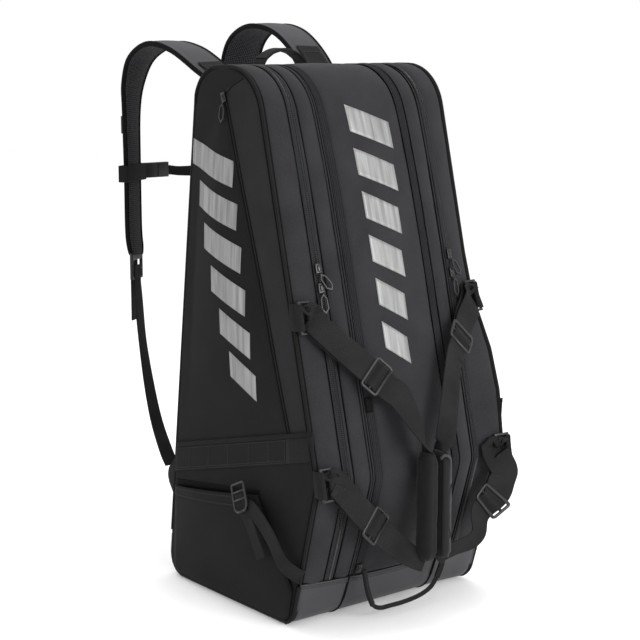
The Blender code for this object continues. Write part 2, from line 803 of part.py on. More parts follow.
def make_sternum_strap():
    """The chest strap: both loops and the socket slide together, the plug pulls out with its webbing."""
    on = "sternum_strap_slide"
    pivot(on, (0, CHEST_DEPTH, STERNUM_HEIGHT))
    frame = Matrix.Translation((0, CHEST_DEPTH, STERNUM_HEIGHT))
    left = pad_cuff("left_sternum_keeper", -1, on)
    cuts = ((-0.0765, -0.0728), (-0.0065, 0.0008), (-0.0075, 0.0075))
    cut_with(left, cells("socket_tongue", cuts, whole, frame, WEBBING, on), "UNION")
    right = pad_cuff("right_sternum_keeper", 1, on)
    cuts = ((0.0665, 0.0725), (-0.0034, -0.0014, 0.0014, 0.0034), (-0.0105, -0.0083, 0.0083, 0.0105))
    slot = cells("webbing_slot", cuts, lambda i, j, k: (j, k) == (1, 1), frame, WEBBING, on)
    cut_with(right, slot, "UNION")
    cuts = ((0.0665, 0.0765), (-0.0075, -0.0028), (-0.0075, 0.0075))
    cut_with(right, cells("slot_foot", cuts, whole, frame, WEBBING, on), "UNION")
    cuts = (
        (-0.0725, -0.066, -0.062, -0.042),
        (-0.0045, -0.0026, 0.0026, 0.0045),
        (-0.012, -0.0085, 0.0085, 0.012),
    )
    cells("buckle_female", cuts, lambda i, j, k: i == 2 and (j, k) == (1, 1), frame, PLASTIC, on)

    loose = "buckle_male_slide"
    pivot(loose, (-0.0415, CHEST_DEPTH, STERNUM_HEIGHT), on)
    cuts = (
        (-0.0585, -0.0415, -0.036, -0.021),
        (-0.0045, -0.0016, 0.0016, 0.0045),
        (-0.012, -0.0085, -0.0075, 0.0075, 0.0085, 0.012),
    )

    def male_hole(i, j, k):
        if i == 0:
            return j != 1 or k not in (2, 3)
        return i == 2 and j == 1 and k in (1, 2, 3)

    cells("buckle_male", cuts, male_hole, frame, PLASTIC, loose)
    cuts = ((-0.032, 0.112), (-0.0008, 0.0008), (-0.0072, 0.0072))
    cells("sternum_webbing", cuts, whole, frame, WEBBING, loose)


def make_accessory_ring():
    """The small loop on the outside of the left shoulder strap."""
    wide = Vector((math.cos(PAD_TURN), math.sin(PAD_TURN), 0))
    out = Vector((-math.sin(PAD_TURN), math.cos(PAD_TURN), 0))
    low = sided(-1, *PAD_MIDDLE)
    at = Vector((low.x, low.y, 0.686)) + out * (PAD_THICKNESS / 2 + 0.006)
    pivot("accessory_ring_hinge", at)
    cuts = ((-0.014, -0.0115, 0.0115, 0.014), (-0.026, -0.0235, -0.0015, 0.0015), (-0.0015, 0.0015))
    frame = frame_at(at, wide, Vector((0, 0, 1)), out)
    cells("accessory_ring", cuts, lambda i, j, k: (i, j) == (1, 1), frame, PLASTIC, "accessory_ring_hinge")


def make_grab_handle():
    y, foot = 0.0835, 0.738
    pivot("grab_handle_hinge", (0, y, foot))
    route = [
        Vector((-0.0450, y, foot)),
        Vector((-0.0430, y, 0.765)),
        Vector((-0.0270, y, 0.790)),
        Vector((0.0, y, 0.797)),
        Vector((0.0270, y, 0.790)),
        Vector((0.0430, y, 0.765)),
        Vector((0.0450, y, foot)),
    ]
    depth = Vector((0, 1, 0))
    ribbon("grab_handle", route, [depth] * 7, 0.028, 0.003, WEBBING, "grab_handle_hinge")


def main():
    clear_scene()
    make_fixed_body()
    for side in (-1, 1):
        make_cover(side)
        make_front_zip_pulls(side)
    make_pull_loop()
    make_handles()
    for side in (-1, 1):
        make_shoulder_strap(side)
    make_sternum_strap()
    make_accessory_ring()
    make_grab_handle()


main()
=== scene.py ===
# %% [markdown]
# # A racket tournament bag
# The bag stands on its wide end: two zipped side covers, a middle compartment, a tarpaulin base,
# two carry handles that meet in a padded grip, and padded shoulder straps on the back. Each cell
# makes one kind of piece around the imported frame, which already knows how everything moves.

# %% The frame and the bodies that carry its parts
import json
import math

import bmesh
import bpy
import numpy as np
from mathutils import Matrix, Vector, noise

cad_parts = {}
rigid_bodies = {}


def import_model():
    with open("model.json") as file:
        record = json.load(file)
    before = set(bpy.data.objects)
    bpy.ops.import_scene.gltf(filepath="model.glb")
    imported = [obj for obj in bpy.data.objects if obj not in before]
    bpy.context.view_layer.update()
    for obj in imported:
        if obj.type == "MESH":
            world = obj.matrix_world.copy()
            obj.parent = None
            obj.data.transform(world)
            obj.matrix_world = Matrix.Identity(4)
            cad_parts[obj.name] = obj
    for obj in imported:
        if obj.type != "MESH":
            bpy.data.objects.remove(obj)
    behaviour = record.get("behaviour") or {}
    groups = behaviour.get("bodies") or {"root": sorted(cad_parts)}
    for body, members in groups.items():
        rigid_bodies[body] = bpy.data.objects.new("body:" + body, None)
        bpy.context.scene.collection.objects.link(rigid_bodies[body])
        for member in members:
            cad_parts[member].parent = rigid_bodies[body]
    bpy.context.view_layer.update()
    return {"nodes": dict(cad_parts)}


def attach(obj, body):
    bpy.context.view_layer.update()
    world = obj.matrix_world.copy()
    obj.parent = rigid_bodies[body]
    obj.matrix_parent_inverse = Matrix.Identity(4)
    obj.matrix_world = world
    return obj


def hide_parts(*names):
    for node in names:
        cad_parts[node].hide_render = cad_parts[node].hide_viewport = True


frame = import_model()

SIDES = (("left", -1), ("right", 1))

# %% [markdown]
# A camera comes first, because the free cord is checked against what it sees. It stands left of
# the bag at a little under its height and looks slightly down, with a long lens, as for a product.

# %% Camera
camera = bpy.data.objects.new("camera", bpy.data.cameras.new("camera"))
bpy.context.scene.collection.objects.link(camera)
camera.data.lens = 90
camera.location = (-1.4541, -1.833, 0.8048)
camera.rotation_euler = Vector((0.61454, 0.76982, -0.17238)).to_track_quat("-Z", "Y").to_euler()
bpy.context.scene.camera = camera

# %% [markdown]
# The studio is a white floor, a white surround and three large soft lamps. Large lamps give
# black fabric its gentle gradients; the strongest one stands at the front, so that the side
# panel falls into shade.

# %% Floor and lights
bpy.ops.object.select_all(action="DESELECT")
bpy.ops.mesh.primitive_plane_add(size=14, location=(0, 0, -0.0012))
floor = bpy.context.object
floor.name = "floor"
paper = bpy.data.materials.new("matt_white_paper")
paper.use_nodes = True
paper.node_tree.nodes["Principled BSDF"].inputs["Base Color"].default_value = (0.93, 0.93, 0.93, 1)
paper.node_tree.nodes["Principled BSDF"].inputs["Roughness"].default_value = 0.9
paper.node_tree.nodes["Principled BSDF"].inputs["Emission Color"].default_value = (1, 1, 1, 1)
paper.node_tree.nodes["Principled BSDF"].inputs["Emission Strength"].default_value = 0.08
floor.data.materials.append(paper)
world = bpy.data.worlds.new("surround")
world.use_nodes = True
world.node_tree.nodes["Background"].inputs["Color"].default_value = (1, 1, 1, 1)
world.node_tree.nodes["Background"].inputs["Strength"].default_value = 1.0
bpy.context.scene.world = world
bpy.context.scene.view_settings.view_transform = "Standard"
LAMPS = (
    ("front_softbox", (0.3, -3.0, 1.1), 1.6, 80),
    ("side_softbox", (-3.0, -0.6, 1.6), 1.6, 8),
    ("top_softbox", (0.2, 0.3, 2.8), 1.8, 30),
)
for name, place, size, watts in LAMPS:
    lamp = bpy.data.objects.new(name, bpy.data.lights.new(name, "AREA"))
    bpy.context.scene.collection.objects.link(lamp)
    lamp.data.size = size
    lamp.data.energy = watts
    lamp.location = place
    lamp.rotation_euler = (Vector((0, 0, 0.4)) - Vector(place)).to_track_quat("-Z", "Y").to_euler()

# %% [markdown]
# Every finish is a small node tree. One function turns a hex colour to linear light, and one adds
# a node with its settings and links, so that each material below reads as a list of its layers.

# %% Colour and nodes
def linear(code):
    parts = [int(code[i : i + 2], 16) / 255 for i in (1, 3, 5)]
    return (*[p / 12.92 if p <= 0.04045 else ((p + 0.055) / 1.055) ** 2.4 for p in parts], 1.0)


def node(material, kind, links, **settings):
    """A node of that kind; links gives a value or another node's output for each of its inputs."""
    made = material.node_tree.nodes.new("ShaderNode" + kind)
    for key, value in settings.items():
        setattr(made, key, value)
    for key, value in links.items():
        if isinstance(value, bpy.types.NodeSocket):
            material.node_tree.links.new(value, made.inputs[key])
        else:
            made.inputs[key].default_value = value
    return made


def new_finish(name, colour, roughness, sheen=0.0, metallic=0.0, coat=0.0, specular=0.5):
    """A Principled material with its constant values on the shader's own sockets."""
    material = bpy.data.materials.new(name)
    material.use_nodes = True
    shader = material.node_tree.nodes["Principled BSDF"]
    shader.inputs["Base Color"].default_value = linear(colour)
    shader.inputs["Roughness"].default_value = roughness
    shader.inputs["Metallic"].default_value = metallic
    shader.inputs["Sheen Weight"].default_value = sheen
    shader.inputs["Sheen Roughness"].default_value = 0.5
    shader.inputs["Coat Weight"].default_value = coat
    shader.inputs["Specular IOR Level"].default_value = specular
    return material, shader


def join(material, output, shader, name):
    material.node_tree.links.new(output, shader.inputs[name])


MM = 0.001


def shaded(material, factor, low, high, start=0.0, end=1.0):
    """The colour output of a ramp from low to high between two places."""
    made = node(material, "ValToRGB", {"Fac": factor})
    ends = made.color_ramp.elements
    ends[0].position, ends[1].position = start, end
    ends[0].color, ends[1].color = low, high
    return made.outputs["Color"]


def bumped(material, shader, height, strength, distance_mm):
    """Relief on the shader from a height output."""
    relief = node(material, "Bump", {"Height": height, "Strength": strength, "Distance": distance_mm * MM})
    join(material, relief.outputs["Normal"], shader, "Normal")


def waves_per(spacing_mm):
    """The Wave texture's scale that puts its bands this far apart on a map in metres."""
    return 2 * math.pi / (20 * spacing_mm * MM)


# %% [markdown]
# The shell is 600-denier polyester in plain weave, dyed black and sewn matt. Two crossed waves on
# the cloth's own map make the weave, and two noises make the slight melange and the soft bloom
# that black polyester shows. Its threads are 0.6 mm apart, drawn at 1.3 mm so that they show.

# %% Woven polyester
def woven(name, dark, light, thread_mm, bump, sheen, twill=0.0, melange=0.5):
    material, shader = new_finish(name, dark, 0.82, sheen, specular=0.12)
    place = node(material, "UVMap", {}).outputs["UV"]
    turned = node(material, "Mapping", {"Vector": place, "Rotation": (0, 0, twill)}).outputs[0]
    scale = waves_per(thread_mm)
    warp = node(material, "TexWave", {"Vector": turned, "Scale": scale}, bands_direction="X")
    weft = node(material, "TexWave", {"Vector": turned, "Scale": scale}, bands_direction="Y")
    weave = node(material, "Math", {0: warp.outputs["Fac"], 1: weft.outputs["Fac"]}, operation="MULTIPLY")
    grain = node(material, "TexNoise", {"Vector": place, "Scale": 420.0, "Detail": 3.0})
    cloud = node(material, "TexNoise", {"Vector": place, "Scale": 16.0, "Detail": 4.0})
    mixed = node(material, "Math", {0: grain.outputs["Fac"], 1: melange}, operation="MULTIPLY")
    shade = node(
        material, "Math", {0: cloud.outputs["Fac"], 1: 0.55, 2: mixed.outputs[0]}, operation="MULTIPLY_ADD"
    )
    tone = node(
        material, "Math", {0: weave.outputs[0], 1: 0.28, 2: shade.outputs[0]}, operation="MULTIPLY_ADD"
    )
    colour = shaded(material, tone.outputs[0], linear(dark), linear(light), 0.25, 0.95)
    join(material, colour, shader, "Base Color")
    height = node(
        material, "Math", {0: grain.outputs["Fac"], 1: 0.4, 2: weave.outputs[0]}, operation="MULTIPLY_ADD"
    )
    bumped(material, shader, height.outputs[0], bump, 0.3)
    return material


SHELL = woven("woven_polyester_600d", "#161517", "#2e2d30", 1.3, 0.6, 0.03)
# The side cloth is a darker copy of the shell cloth: painted shade for the side that turns from the front
# lamp.
SIDE_PAINTED_SHADE = woven("woven_polyester_side_painted_shade", "#0b0a0b", "#1c1b1c", 1.3, 0.6, 0.01)
# Its front part, ahead of the concealed zip, takes a lighter copy: painted light, still darker than the
# shell.
SIDE_FRONT_PAINTED_LIGHT = woven("woven_polyester_side_front_painted_light", "#121113", "#282729", 1.3, 0.6, 0.02)
LINING = woven("black_taffeta_lining", "#0b0b0d", "#141417", 0.9, 0.2, 0.0)
# Near-black cloth: real tape on the zips and strap edges, and painted shade in seam gaps, grooves and folds.
TAPE_AND_SEAM_SHADE = woven("black_tape_and_painted_seam_shade", "#020202", "#060606", 1.0, 0.3, 0.0)

# %% [markdown]
# Strap webbing is polypropylene in a coarse twill: steep ribs, drawn at 2.2 mm, that catch the
# light, so the weave is turned by an eighth of a turn and cut deeper. Padding has a smoother knitted face,
# and the straps' inner side is a spacer mesh, a net of small dark holes.

# %% Webbing, padding and spacer mesh
WEBBING = woven("polypropylene_webbing", "#080808", "#2b2b2b", 2.2, 1.0, 0.01, math.pi / 4, 0.3)
PADDING = woven("coated_knit_padding", "#2a2a2c", "#444447", 1.2, 0.35, 0.05)
GRIP_CLOTH = woven("brushed_grip_cloth", "#0c0b0c", "#1c1b1c", 1.4, 0.35, 0.05)


def spacer_mesh():
    material, shader = new_finish("spacer_mesh", "#101011", 0.9, 0.02, specular=0.12)
    place = node(material, "UVMap", {}).outputs["UV"]
    holes = node(material, "TexVoronoi", {"Vector": place, "Scale": 330.0, "Randomness": 0.15})
    colour = shaded(material, holes.outputs["Distance"], linear("#030303"), linear("#38383b"), 0.25, 0.5)
    join(material, colour, shader, "Base Color")
    bumped(material, shader, holes.outputs["Distance"], 0.8, 0.8)
    return material


MESH_CLOTH = spacer_mesh()

# %% [markdown]
# The base is PVC-coated tarpaulin: smooth, a little lighter and clearly glossier than the cloth,
# with the print of its scrim just showing. The print on the panels is silver heat-transfer foil
# with fine streaks along it.

# %% Tarpaulin and foil
def tarpaulin():
    material, shader = new_finish("pvc_tarpaulin", "#2b2b2d", 0.48, coat=0.05, specular=0.3)
    place = node(material, "UVMap", {}).outputs["UV"]
    cloud = node(material, "TexNoise", {"Vector": place, "Scale": 9.0, "Detail": 5.0})
    colour = shaded(material, cloud.outputs["Fac"], linear("#28282a"), linear("#363639"))
    join(material, colour, shader, "Base Color")
    scale = waves_per(1.6)
    warp = node(material, "TexWave", {"Vector": place, "Scale": scale}, bands_direction="X")
    weft = node(material, "TexWave", {"Vector": place, "Scale": scale}, bands_direction="Y")
    scrim = node(material, "Math", {0: warp.outputs["Fac"], 1: weft.outputs["Fac"]}, operation="ADD")
    bumped(material, shader, scrim.outputs[0], 0.12, 0.2)
    return material


def silver_foil():
    material, shader = new_finish("silver_transfer_foil", "#8f908f", 0.45, metallic=0.35, specular=0.2)
    place = node(material, "UVMap", {}).outputs["UV"]
    drawn = node(material, "Mapping", {"Vector": place, "Scale": (1.0, 0.06, 1.0)}).outputs[0]
    streak = node(material, "TexNoise", {"Vector": drawn, "Scale": 160.0, "Detail": 4.0})
    colour = shaded(material, streak.outputs["Fac"], linear("#6c6d6c"), linear("#949594"), 0.3, 0.7)
    join(material, colour, shader, "Base Color")
    return material


TARP = tarpaulin()
FOIL = silver_foil()

# %% [markdown]
# Buckles, rings and zip pulls are moulded acetal: black, with a satin skin and a very fine orange
# peel. Zip sliders are zinc castings under black enamel, glossier, and the zip's coil is nylon.

# %% Acetal, enamel and nylon coil
def moulded(name, colour, roughness, coat, peel, metallic=0.0):
    material, shader = new_finish(name, colour, roughness, metallic=metallic, coat=coat, specular=0.35)
    place = node(material, "TexCoord", {}).outputs["Object"]
    grain = node(material, "TexNoise", {"Vector": place, "Scale": 900.0, "Detail": 2.0})
    wear = node(material, "TexNoise", {"Vector": place, "Scale": 60.0, "Detail": 3.0})
    smooth, worn = (roughness - 0.05,) * 3 + (1,), (roughness + 0.12,) * 3 + (1,)
    join(material, shaded(material, wear.outputs["Fac"], smooth, worn, 0.35, 0.75), shader, "Roughness")
    bumped(material, shader, grain.outputs["Fac"], peel, 0.2)
    return material


ACETAL = moulded("black_acetal", "#151517", 0.42, 0.05, 0.15)
ENAMEL = moulded("black_enamelled_zinc", "#0a0a0b", 0.30, 0.15, 0.08, 0.1)
COIL = moulded("nylon_coil", "#262628", 0.45, 0.0, 0.1)
THREAD = moulded("bonded_thread", "#1e1e20", 0.7, 0.0, 0.2)
print(len(bpy.data.materials), "materials")

# %% [markdown]
# The side view of the bag drives every panel: five rounded corners. The front face also swells
# forwards in the middle. These functions give a point on the surface for any place across the
# bag, so that panels, seams, zips and hardware all lie on the same cloth.

# %% The bag's surface
HEIGHT = 0.770
HALF_WIDTH = 0.165
CROWN = 0.024
CORNERS = ((-0.155, 0.0, 0.035), (-0.213, 0.215, 0.040), (-0.079, 0.770, 0.075),
           (0.062, 0.770, 0.060), (0.155, 0.0, 0.030))
MAIN_ZIP, DIVIDER = 0.120, 0.082
SKIRT = 0.066
ARC_STEPS = 10


def side_arcs(inset):
    """The five rounded corners of the side view, each as points of depth and height, clockwise."""
    corners = [Vector(c[:2]) for c in CORNERS]
    arcs = []
    for i, corner in enumerate(corners):
        into = (corner - corners[i - 1]).normalized()
        away = (corners[(i + 1) % 5] - corner).normalized()
        turn = math.acos(into.dot(away))
        radius = CORNERS[i][2]
        inward = Vector((into.y, -into.x))
        centre = corner - into * radius * math.tan(turn / 2) + inward * radius
        reach = max(radius - inset, 0.003)
        arc = []
        for k in range(ARC_STEPS + 1):
            spoke = Matrix.Rotation(-turn * k / ARC_STEPS, 2) @ -inward
            arc.append(centre + spoke * reach)
        arcs.append(arc)
    return arcs


def evenly(points, step):
    """The same line with its points a step apart, and each point's distance along it."""
    points = np.array([tuple(p) for p in points], float)
    gone = np.concatenate([[0], np.cumsum(np.linalg.norm(np.diff(points, axis=0), axis=1))])
    count = max(int(round(gone[-1] / step)), 2)
    at = np.linspace(0, gone[-1], count + 1)
    return np.stack([np.interp(at, gone, column) for column in points.T], axis=1), at


def front_line(low=SKIRT, step=0.006):
    """Up the front from this height, over the top and round the upper back corner."""
    arcs = side_arcs(0.0)
    line = [p for arc in arcs[:4] for p in arc]
    foot = arcs[0][-1]
    if low > foot.y:
        knee = arcs[1][0]
        line = [foot.lerp(knee, (low - foot.y) / (knee.y - foot.y))] + line[ARC_STEPS + 1 :]
    return evenly(line, step)


def crown_at(x, y, z):
    rise = 1 - abs(2 * min(max(z / HEIGHT, 0), 1) - 1) ** 4
    across = max(0.0, 1 - (x / HALF_WIDTH) ** 2)
    return CROWN * rise * across * min(max((0.02 - y) / 0.06, 0.0), 1.0)


FRONT_POINTS = front_line(0.0, 0.004)[0]
FRONT_HEIGHTS = [p[1] for p in FRONT_POINTS[: int(np.argmax(FRONT_POINTS[:, 1])) + 1]]
FRONT_DEPTHS = [p[0] for p in FRONT_POINTS[: len(FRONT_HEIGHTS)]]


def edge_depth(z):
    """Depth of the front edge, and of the back, at a height."""
    front = float(np.interp(z, FRONT_HEIGHTS, FRONT_DEPTHS))
    arcs = side_arcs(0.0)
    back = [tuple(p) for p in arcs[3] + arcs[4]]
    back.sort(key=lambda p: p[1])
    return front, float(np.interp(z, [p[1] for p in back], [p[0] for p in back]))


def face_y(x, z):
    y = float(np.interp(z, FRONT_HEIGHTS, FRONT_DEPTHS))
    return y - crown_at(x, y, z)


def face_frame(x, z, step=0.01):
    """Directions on the front face: to the right, up, and out of it."""
    slope_x = (face_y(x + step, z) - face_y(x - step, z)) / (2 * step)
    slope_z = (face_y(x, z + step) - face_y(x, z - step)) / (2 * step)
    out = Vector((slope_x, -1, slope_z)).normalized()
    up = Vector((0, slope_z, 1))
    up = (up - out * up.dot(out)).normalized()
    return up.cross(out), up, out


def face_point(x, z, stand=0.0):
    return Vector((x, face_y(x, z), z)) + face_frame(x, z)[2] * stand


print("front edge at the knee:", round(edge_depth(0.215)[0], 4))

# %% [markdown]
# Cloth is laid as a grid of points with its own flat map in metres, so that the weave keeps its
# size and follows the cut. The same function closes a grid into a tube for piping and straps.
# Solidify then gives a panel its thickness, with the lining as the second material inside.

# %% Cloth, tubes and straps
def alone(piece):
    bpy.ops.object.select_all(action="DESELECT")
    piece.select_set(True)
    bpy.context.view_layer.objects.active = piece


def apply_all(piece):
    alone(piece)
    for modifier in list(piece.modifiers):
        bpy.ops.object.modifier_apply(modifier=modifier.name)


def piece_of(name, bm, materials):
    """The edit mesh made into an object of this name."""
    mesh = bpy.data.meshes.new(name)
    bm.to_mesh(mesh)
    bm.free()
    for material in materials:
        mesh.materials.append(material)
    piece = bpy.data.objects.new(name, mesh)
    bpy.context.scene.collection.objects.link(piece)
    return piece


def lay(name, rows, flat, materials, facing=None, closed=False, pick=None):
    """A mesh from rows of points; flat is each point's place on the cut cloth, in metres."""
    count, across = len(rows), len(rows[0])
    bm = bmesh.new()
    grid = [[bm.verts.new(p) for p in row] for row in rows]
    layer = bm.loops.layers.uv.new("UVMap")
    for i in range(count - 1):
        for j in range(across if closed else across - 1):
            k = (j + 1) % across
            face = bm.faces.new((grid[i][j], grid[i][k], grid[i + 1][k], grid[i + 1][j]))
            face.smooth = True
            face.material_index = pick(i, j) if pick else 0
            places = (flat[i][j], flat[i][j + 1], flat[i + 1][j + 1], flat[i + 1][j])
            for loop, place in zip(face.loops, places):
                loop[layer].uv = place
    if closed:
        for row, place in ((grid[0], flat[0]), (grid[-1], flat[-1])):
            face = bm.faces.new(row)
            face.material_index = pick(0, 0) if pick else 0
            for loop in face.loops:
                loop[layer].uv = place[0]
        bmesh.ops.recalc_face_normals(bm, faces=bm.faces)
    elif facing is not None:
        bm.normal_update()
        middle = bm.faces[:][len(bm.faces) // 2]
        if middle.normal.dot(Vector(facing)) < 0:
            bmesh.ops.reverse_faces(bm, faces=bm.faces)
    return piece_of(name, bm, materials)


def thicken(piece, depth, lined=True):
    wall = piece.modifiers.new("wall", "SOLIDIFY")
    wall.thickness = depth
    wall.offset = -1
    wall.use_even_offset = True
    wall.use_rim = True
    if lined and len(piece.data.materials) > 1:
        wall.material_offset = 1
    apply_all(piece)
    return piece


def place_on(piece, body, slot, *nodes):
    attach(piece, body)
    if nodes:
        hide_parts(*nodes)
    return piece


def curve_through(points, steps=6):
    """A smooth line through points, or through any vectors that go with them."""
    points = [Vector(p) for p in points]
    result, last = [], len(points) - 1
    for i in range(last):
        a, b, c, d = points[max(i - 1, 0)], points[i], points[i + 1], points[min(i + 2, last)]
        for k in range(steps):
            t = k / steps
            result.append((2 * b + (c - a) * t + (2 * a - 5 * b + 4 * c - d) * t**2
                           + (3 * b - a - 3 * c + d) * t**3) / 2)
    return result + [points[-1].copy()]


def distances(points):
    gone = [0.0]
    for near, far in zip(points, points[1:]):
        gone.append(gone[-1] + (Vector(far) - Vector(near)).length)
    return gone


def tube(name, points, radius, material, sides=8, squash=1.0, over=Vector((0, 0, 1))):
    """A round or flattened cord along a line of points."""
    points = [Vector(p) for p in points]
    gone = distances(points)
    rows, flat = [], []
    for i, point in enumerate(points):
        along = (points[min(i + 1, len(points) - 1)] - points[max(i - 1, 0)]).normalized()
        wide = along.cross(over)
        wide = wide.normalized() if wide.length > 1e-4 else along.orthogonal().normalized()
        thick = wide.cross(along)
        size = radius(i / (len(points) - 1)) if callable(radius) else radius
        turns = [2 * math.pi * k / sides for k in range(sides)]
        rows.append([point + wide * (size * math.cos(a)) + thick * (size * squash * math.sin(a))
                     for a in turns])
        flat.append([(k / sides * 2 * math.pi * size, gone[i]) for k in range(sides + 1)])
    return lay(name, rows, flat, [material], closed=True)


# A strap's section: places across its width and through its thickness, from -1 to 1
STRAP_FACE = ((-0.97, 0.8), (-0.9, 1), (-0.45, 0.9), (0, 0.9), (0.45, 0.9), (0.9, 1), (0.97, 0.8))
FLAT_STRAP = ((-1, 0), *STRAP_FACE, (1, 0), *[(-u, -v) for u, v in STRAP_FACE])


def strap(name, points, spans, width, thickness, materials, section=FLAT_STRAP, steps=6, pick=None):
    """Webbing along a route; each span is the direction of its width and, by its length, its share."""
    line, turns = curve_through(points, steps), curve_through(spans, steps)
    gone = distances(line)
    rows, flat = [], []
    for i, point in enumerate(line):
        along = line[min(i + 1, len(line) - 1)] - line[max(i - 1, 0)]
        wide = (turns[i] - along * turns[i].dot(along) / along.length_squared).normalized()
        thick = along.cross(wide).normalized() * (thickness / 2)
        wide *= turns[i].length * width / 2
        rows.append([point + wide * u + thick * v for u, v in section])
        flat.append([((u + 3 * (v < 0)) * width / 2, gone[i]) for u, v in section + section[:1]])
    return lay(name, rows, flat, materials, closed=True, pick=pick)


def stitches(name, lines, out, body, slot, pitch=0.0046, size=0.0005):
    """Rows of thread: short raised stitches along each line, all in one mesh."""
    bm = bmesh.new()
    for line in lines:
        points, gone = evenly(line, pitch)
        for i in range(len(points) - 1):
            a, b = Vector(points[i]), Vector(points[i + 1])
            along = (b - a).normalized()
            lift = Vector(out(a) if callable(out) else out)
            wide = along.cross(lift).normalized() * size
            ends = (a.lerp(b, 0.14), a.lerp(b, 0.3), a.lerp(b, 0.7), a.lerp(b, 0.86))
            tops = (0.0, size, size, 0.0)
            left = [bm.verts.new(p - wide + lift * (t - 0.0002)) for p, t in zip(ends, tops)]
            right = [bm.verts.new(p + wide + lift * (t - 0.0002)) for p, t in zip(ends, tops)]
            for k in range(3):
                bm.faces.new((left[k], right[k], right[k + 1], left[k + 1]))
            bm.faces.new((left[0], left[1], left[2], left[3]))
            bm.faces.new((right[3], right[2], right[1], right[0]))
            bm.faces.new((left[3], right[3], right[0], left[0]))
    bmesh.ops.recalc_face_normals(bm, faces=bm.faces)
    return place_on(piece_of(name, bm, [THREAD]), body, slot)


# %% [markdown]
# Front panels run from the base seam up the front, over the top and down to the back. Each is a
# strip between two seams. It swells a little between them and dives at its edges, as cloth does
# beside a row of stitches, and a slow noise leaves the soft waves of foam-backed polyester.

# %% Front panels
RIPPLE = 0.0007


def ripple(point):
    return RIPPLE * noise.noise(Vector(point) * 14) + RIPPLE * 0.6 * noise.noise(Vector(point) * 37)


def columns(near, far, count, puff, dip, roll=0.0035):
    """Places across a strip with their lift: puffed in the middle, dipped within roll of a seam."""
    result = []
    for k in range(count + 1):
        t = 0.5 - 0.5 * math.cos(math.pi * k / count)
        x = near + (far - near) * t
        edge = min(abs(x - near), abs(far - x))
        result.append((x, puff * math.sin(math.pi * t) - dip * math.exp(-edge / roll)))
    return result


def front_rows(cols, wave=True):
    """Rows of points on the front and top for columns of (place across, lift)."""
    line, gone = front_line()
    rows, flat = [], []
    for i, (y, z) in enumerate(line):
        dy, dz = line[min(i + 1, len(line) - 1)] - line[max(i - 1, 0)]
        size = math.hypot(dy, dz)
        out_y, out_z = -dz / size, dy / size
        row = []
        for x, lift in cols:
            base = (x, y - crown_at(x, y, z), z)
            lift += ripple(base) if wave else 0.0
            row.append((x, base[1] + out_y * lift, z + out_z * lift))
        rows.append(row)
        flat.append([(x, gone[i]) for x, _ in cols])
    return rows, flat


def front_strip(name, cols, materials, depth=0.0016, wave=True):
    rows, flat = front_rows(cols, wave)
    piece = lay(name, rows, flat, materials, facing=(0, -1, 0.3))
    return thicken(piece, depth)


def seam_line(name, x, lift, radius, material):
    rows, _ = front_rows([(x, lift)], False)
    return tube(name, [row[0] for row in rows], radius, material, over=Vector((1, 0, 0)))


piece = front_strip("centre_panel", columns(-0.0655, 0.0655, 22, 0.002, 0.0022), [SHELL, LINING])
place_on(piece, "bag", "shell_fabric", "centre_front_panel")
for side, sign in SIDES:
    cover = side + "_cover"
    piece = front_strip(side + "_front_gusset", columns(sign * 0.1600, sign * 0.1262, 9, 0.0014, 0.002),
                        [SHELL, LINING])
    place_on(piece, cover, "shell_fabric")
    piece = front_strip(side + "_zip_gusset", columns(sign * 0.1150, sign * 0.1105, 4, 0.0003, 0.0016),
                        [SHELL, LINING])
    place_on(piece, "bag", "shell_fabric")
    piece = front_strip(side + "_inner_gusset", columns(sign * 0.1095, sign * 0.0845, 8, 0.0012, 0.002),
                        [SHELL, LINING])
    place_on(piece, "bag", "shell_fabric", side + "_inner_shell")
    piece = front_strip(side + "_centre_gusset", columns(sign * 0.0800, sign * 0.0772, 4, 0.0003, 0.0012),
                        [SHELL, LINING])
    place_on(piece, "bag", "shell_fabric")
print("front panels laid from", SKIRT, "m up to the back")

# %% [markdown]
# The seams between those panels are what reads from afar. A compartment seam is a thin bound bead
# sunk between two panels; the pocket zips in the middle hide under flaps, four narrow pleats side
# by side; and the big side zips show their coil, between a raised bead and a row of topstitching.

# %% Compartment seams and pocket zip flaps
for side, sign in SIDES:
    # Near-black strip sunk under the compartment bead: painted shade in the groove.
    piece = front_strip(side + "_seam_floor", [(sign * 0.0850, -0.0030), (sign * 0.0790, -0.0030)], [TAPE_AND_SEAM_SHADE],
                        0.0008, wave=False)
    place_on(piece, "bag", "shell_fabric")
    piece = seam_line(side + "_compartment_bead", sign * 0.0832, -0.0008, 0.0014, SHELL)
    place_on(piece, "bag", "shell_fabric")
    pleats = []
    for k in range(41):
        x = 0.0772 - 0.0117 * k / 40
        pleats.append((sign * x, 0.0001 + 0.0009 * math.cos(2 * math.pi * 4 * k / 40)))
    piece = front_strip(side + "_zip_flap", pleats, [SHELL, LINING], 0.0008, wave=False)
    place_on(piece, "bag", "zip_chain", side + "_centre_zip")
    # Near-black line sunk in the seam beside the zip gusset: painted shade along that seam.
    piece = seam_line(side + "_bound_seam", sign * 0.1100, -0.0006, 0.0008, TAPE_AND_SEAM_SHADE)
    place_on(piece, "bag", "shell_fabric")

# %% [markdown]
# The left pocket zip ends in a small folded patch of tape, sewn over the tail of its flaps.

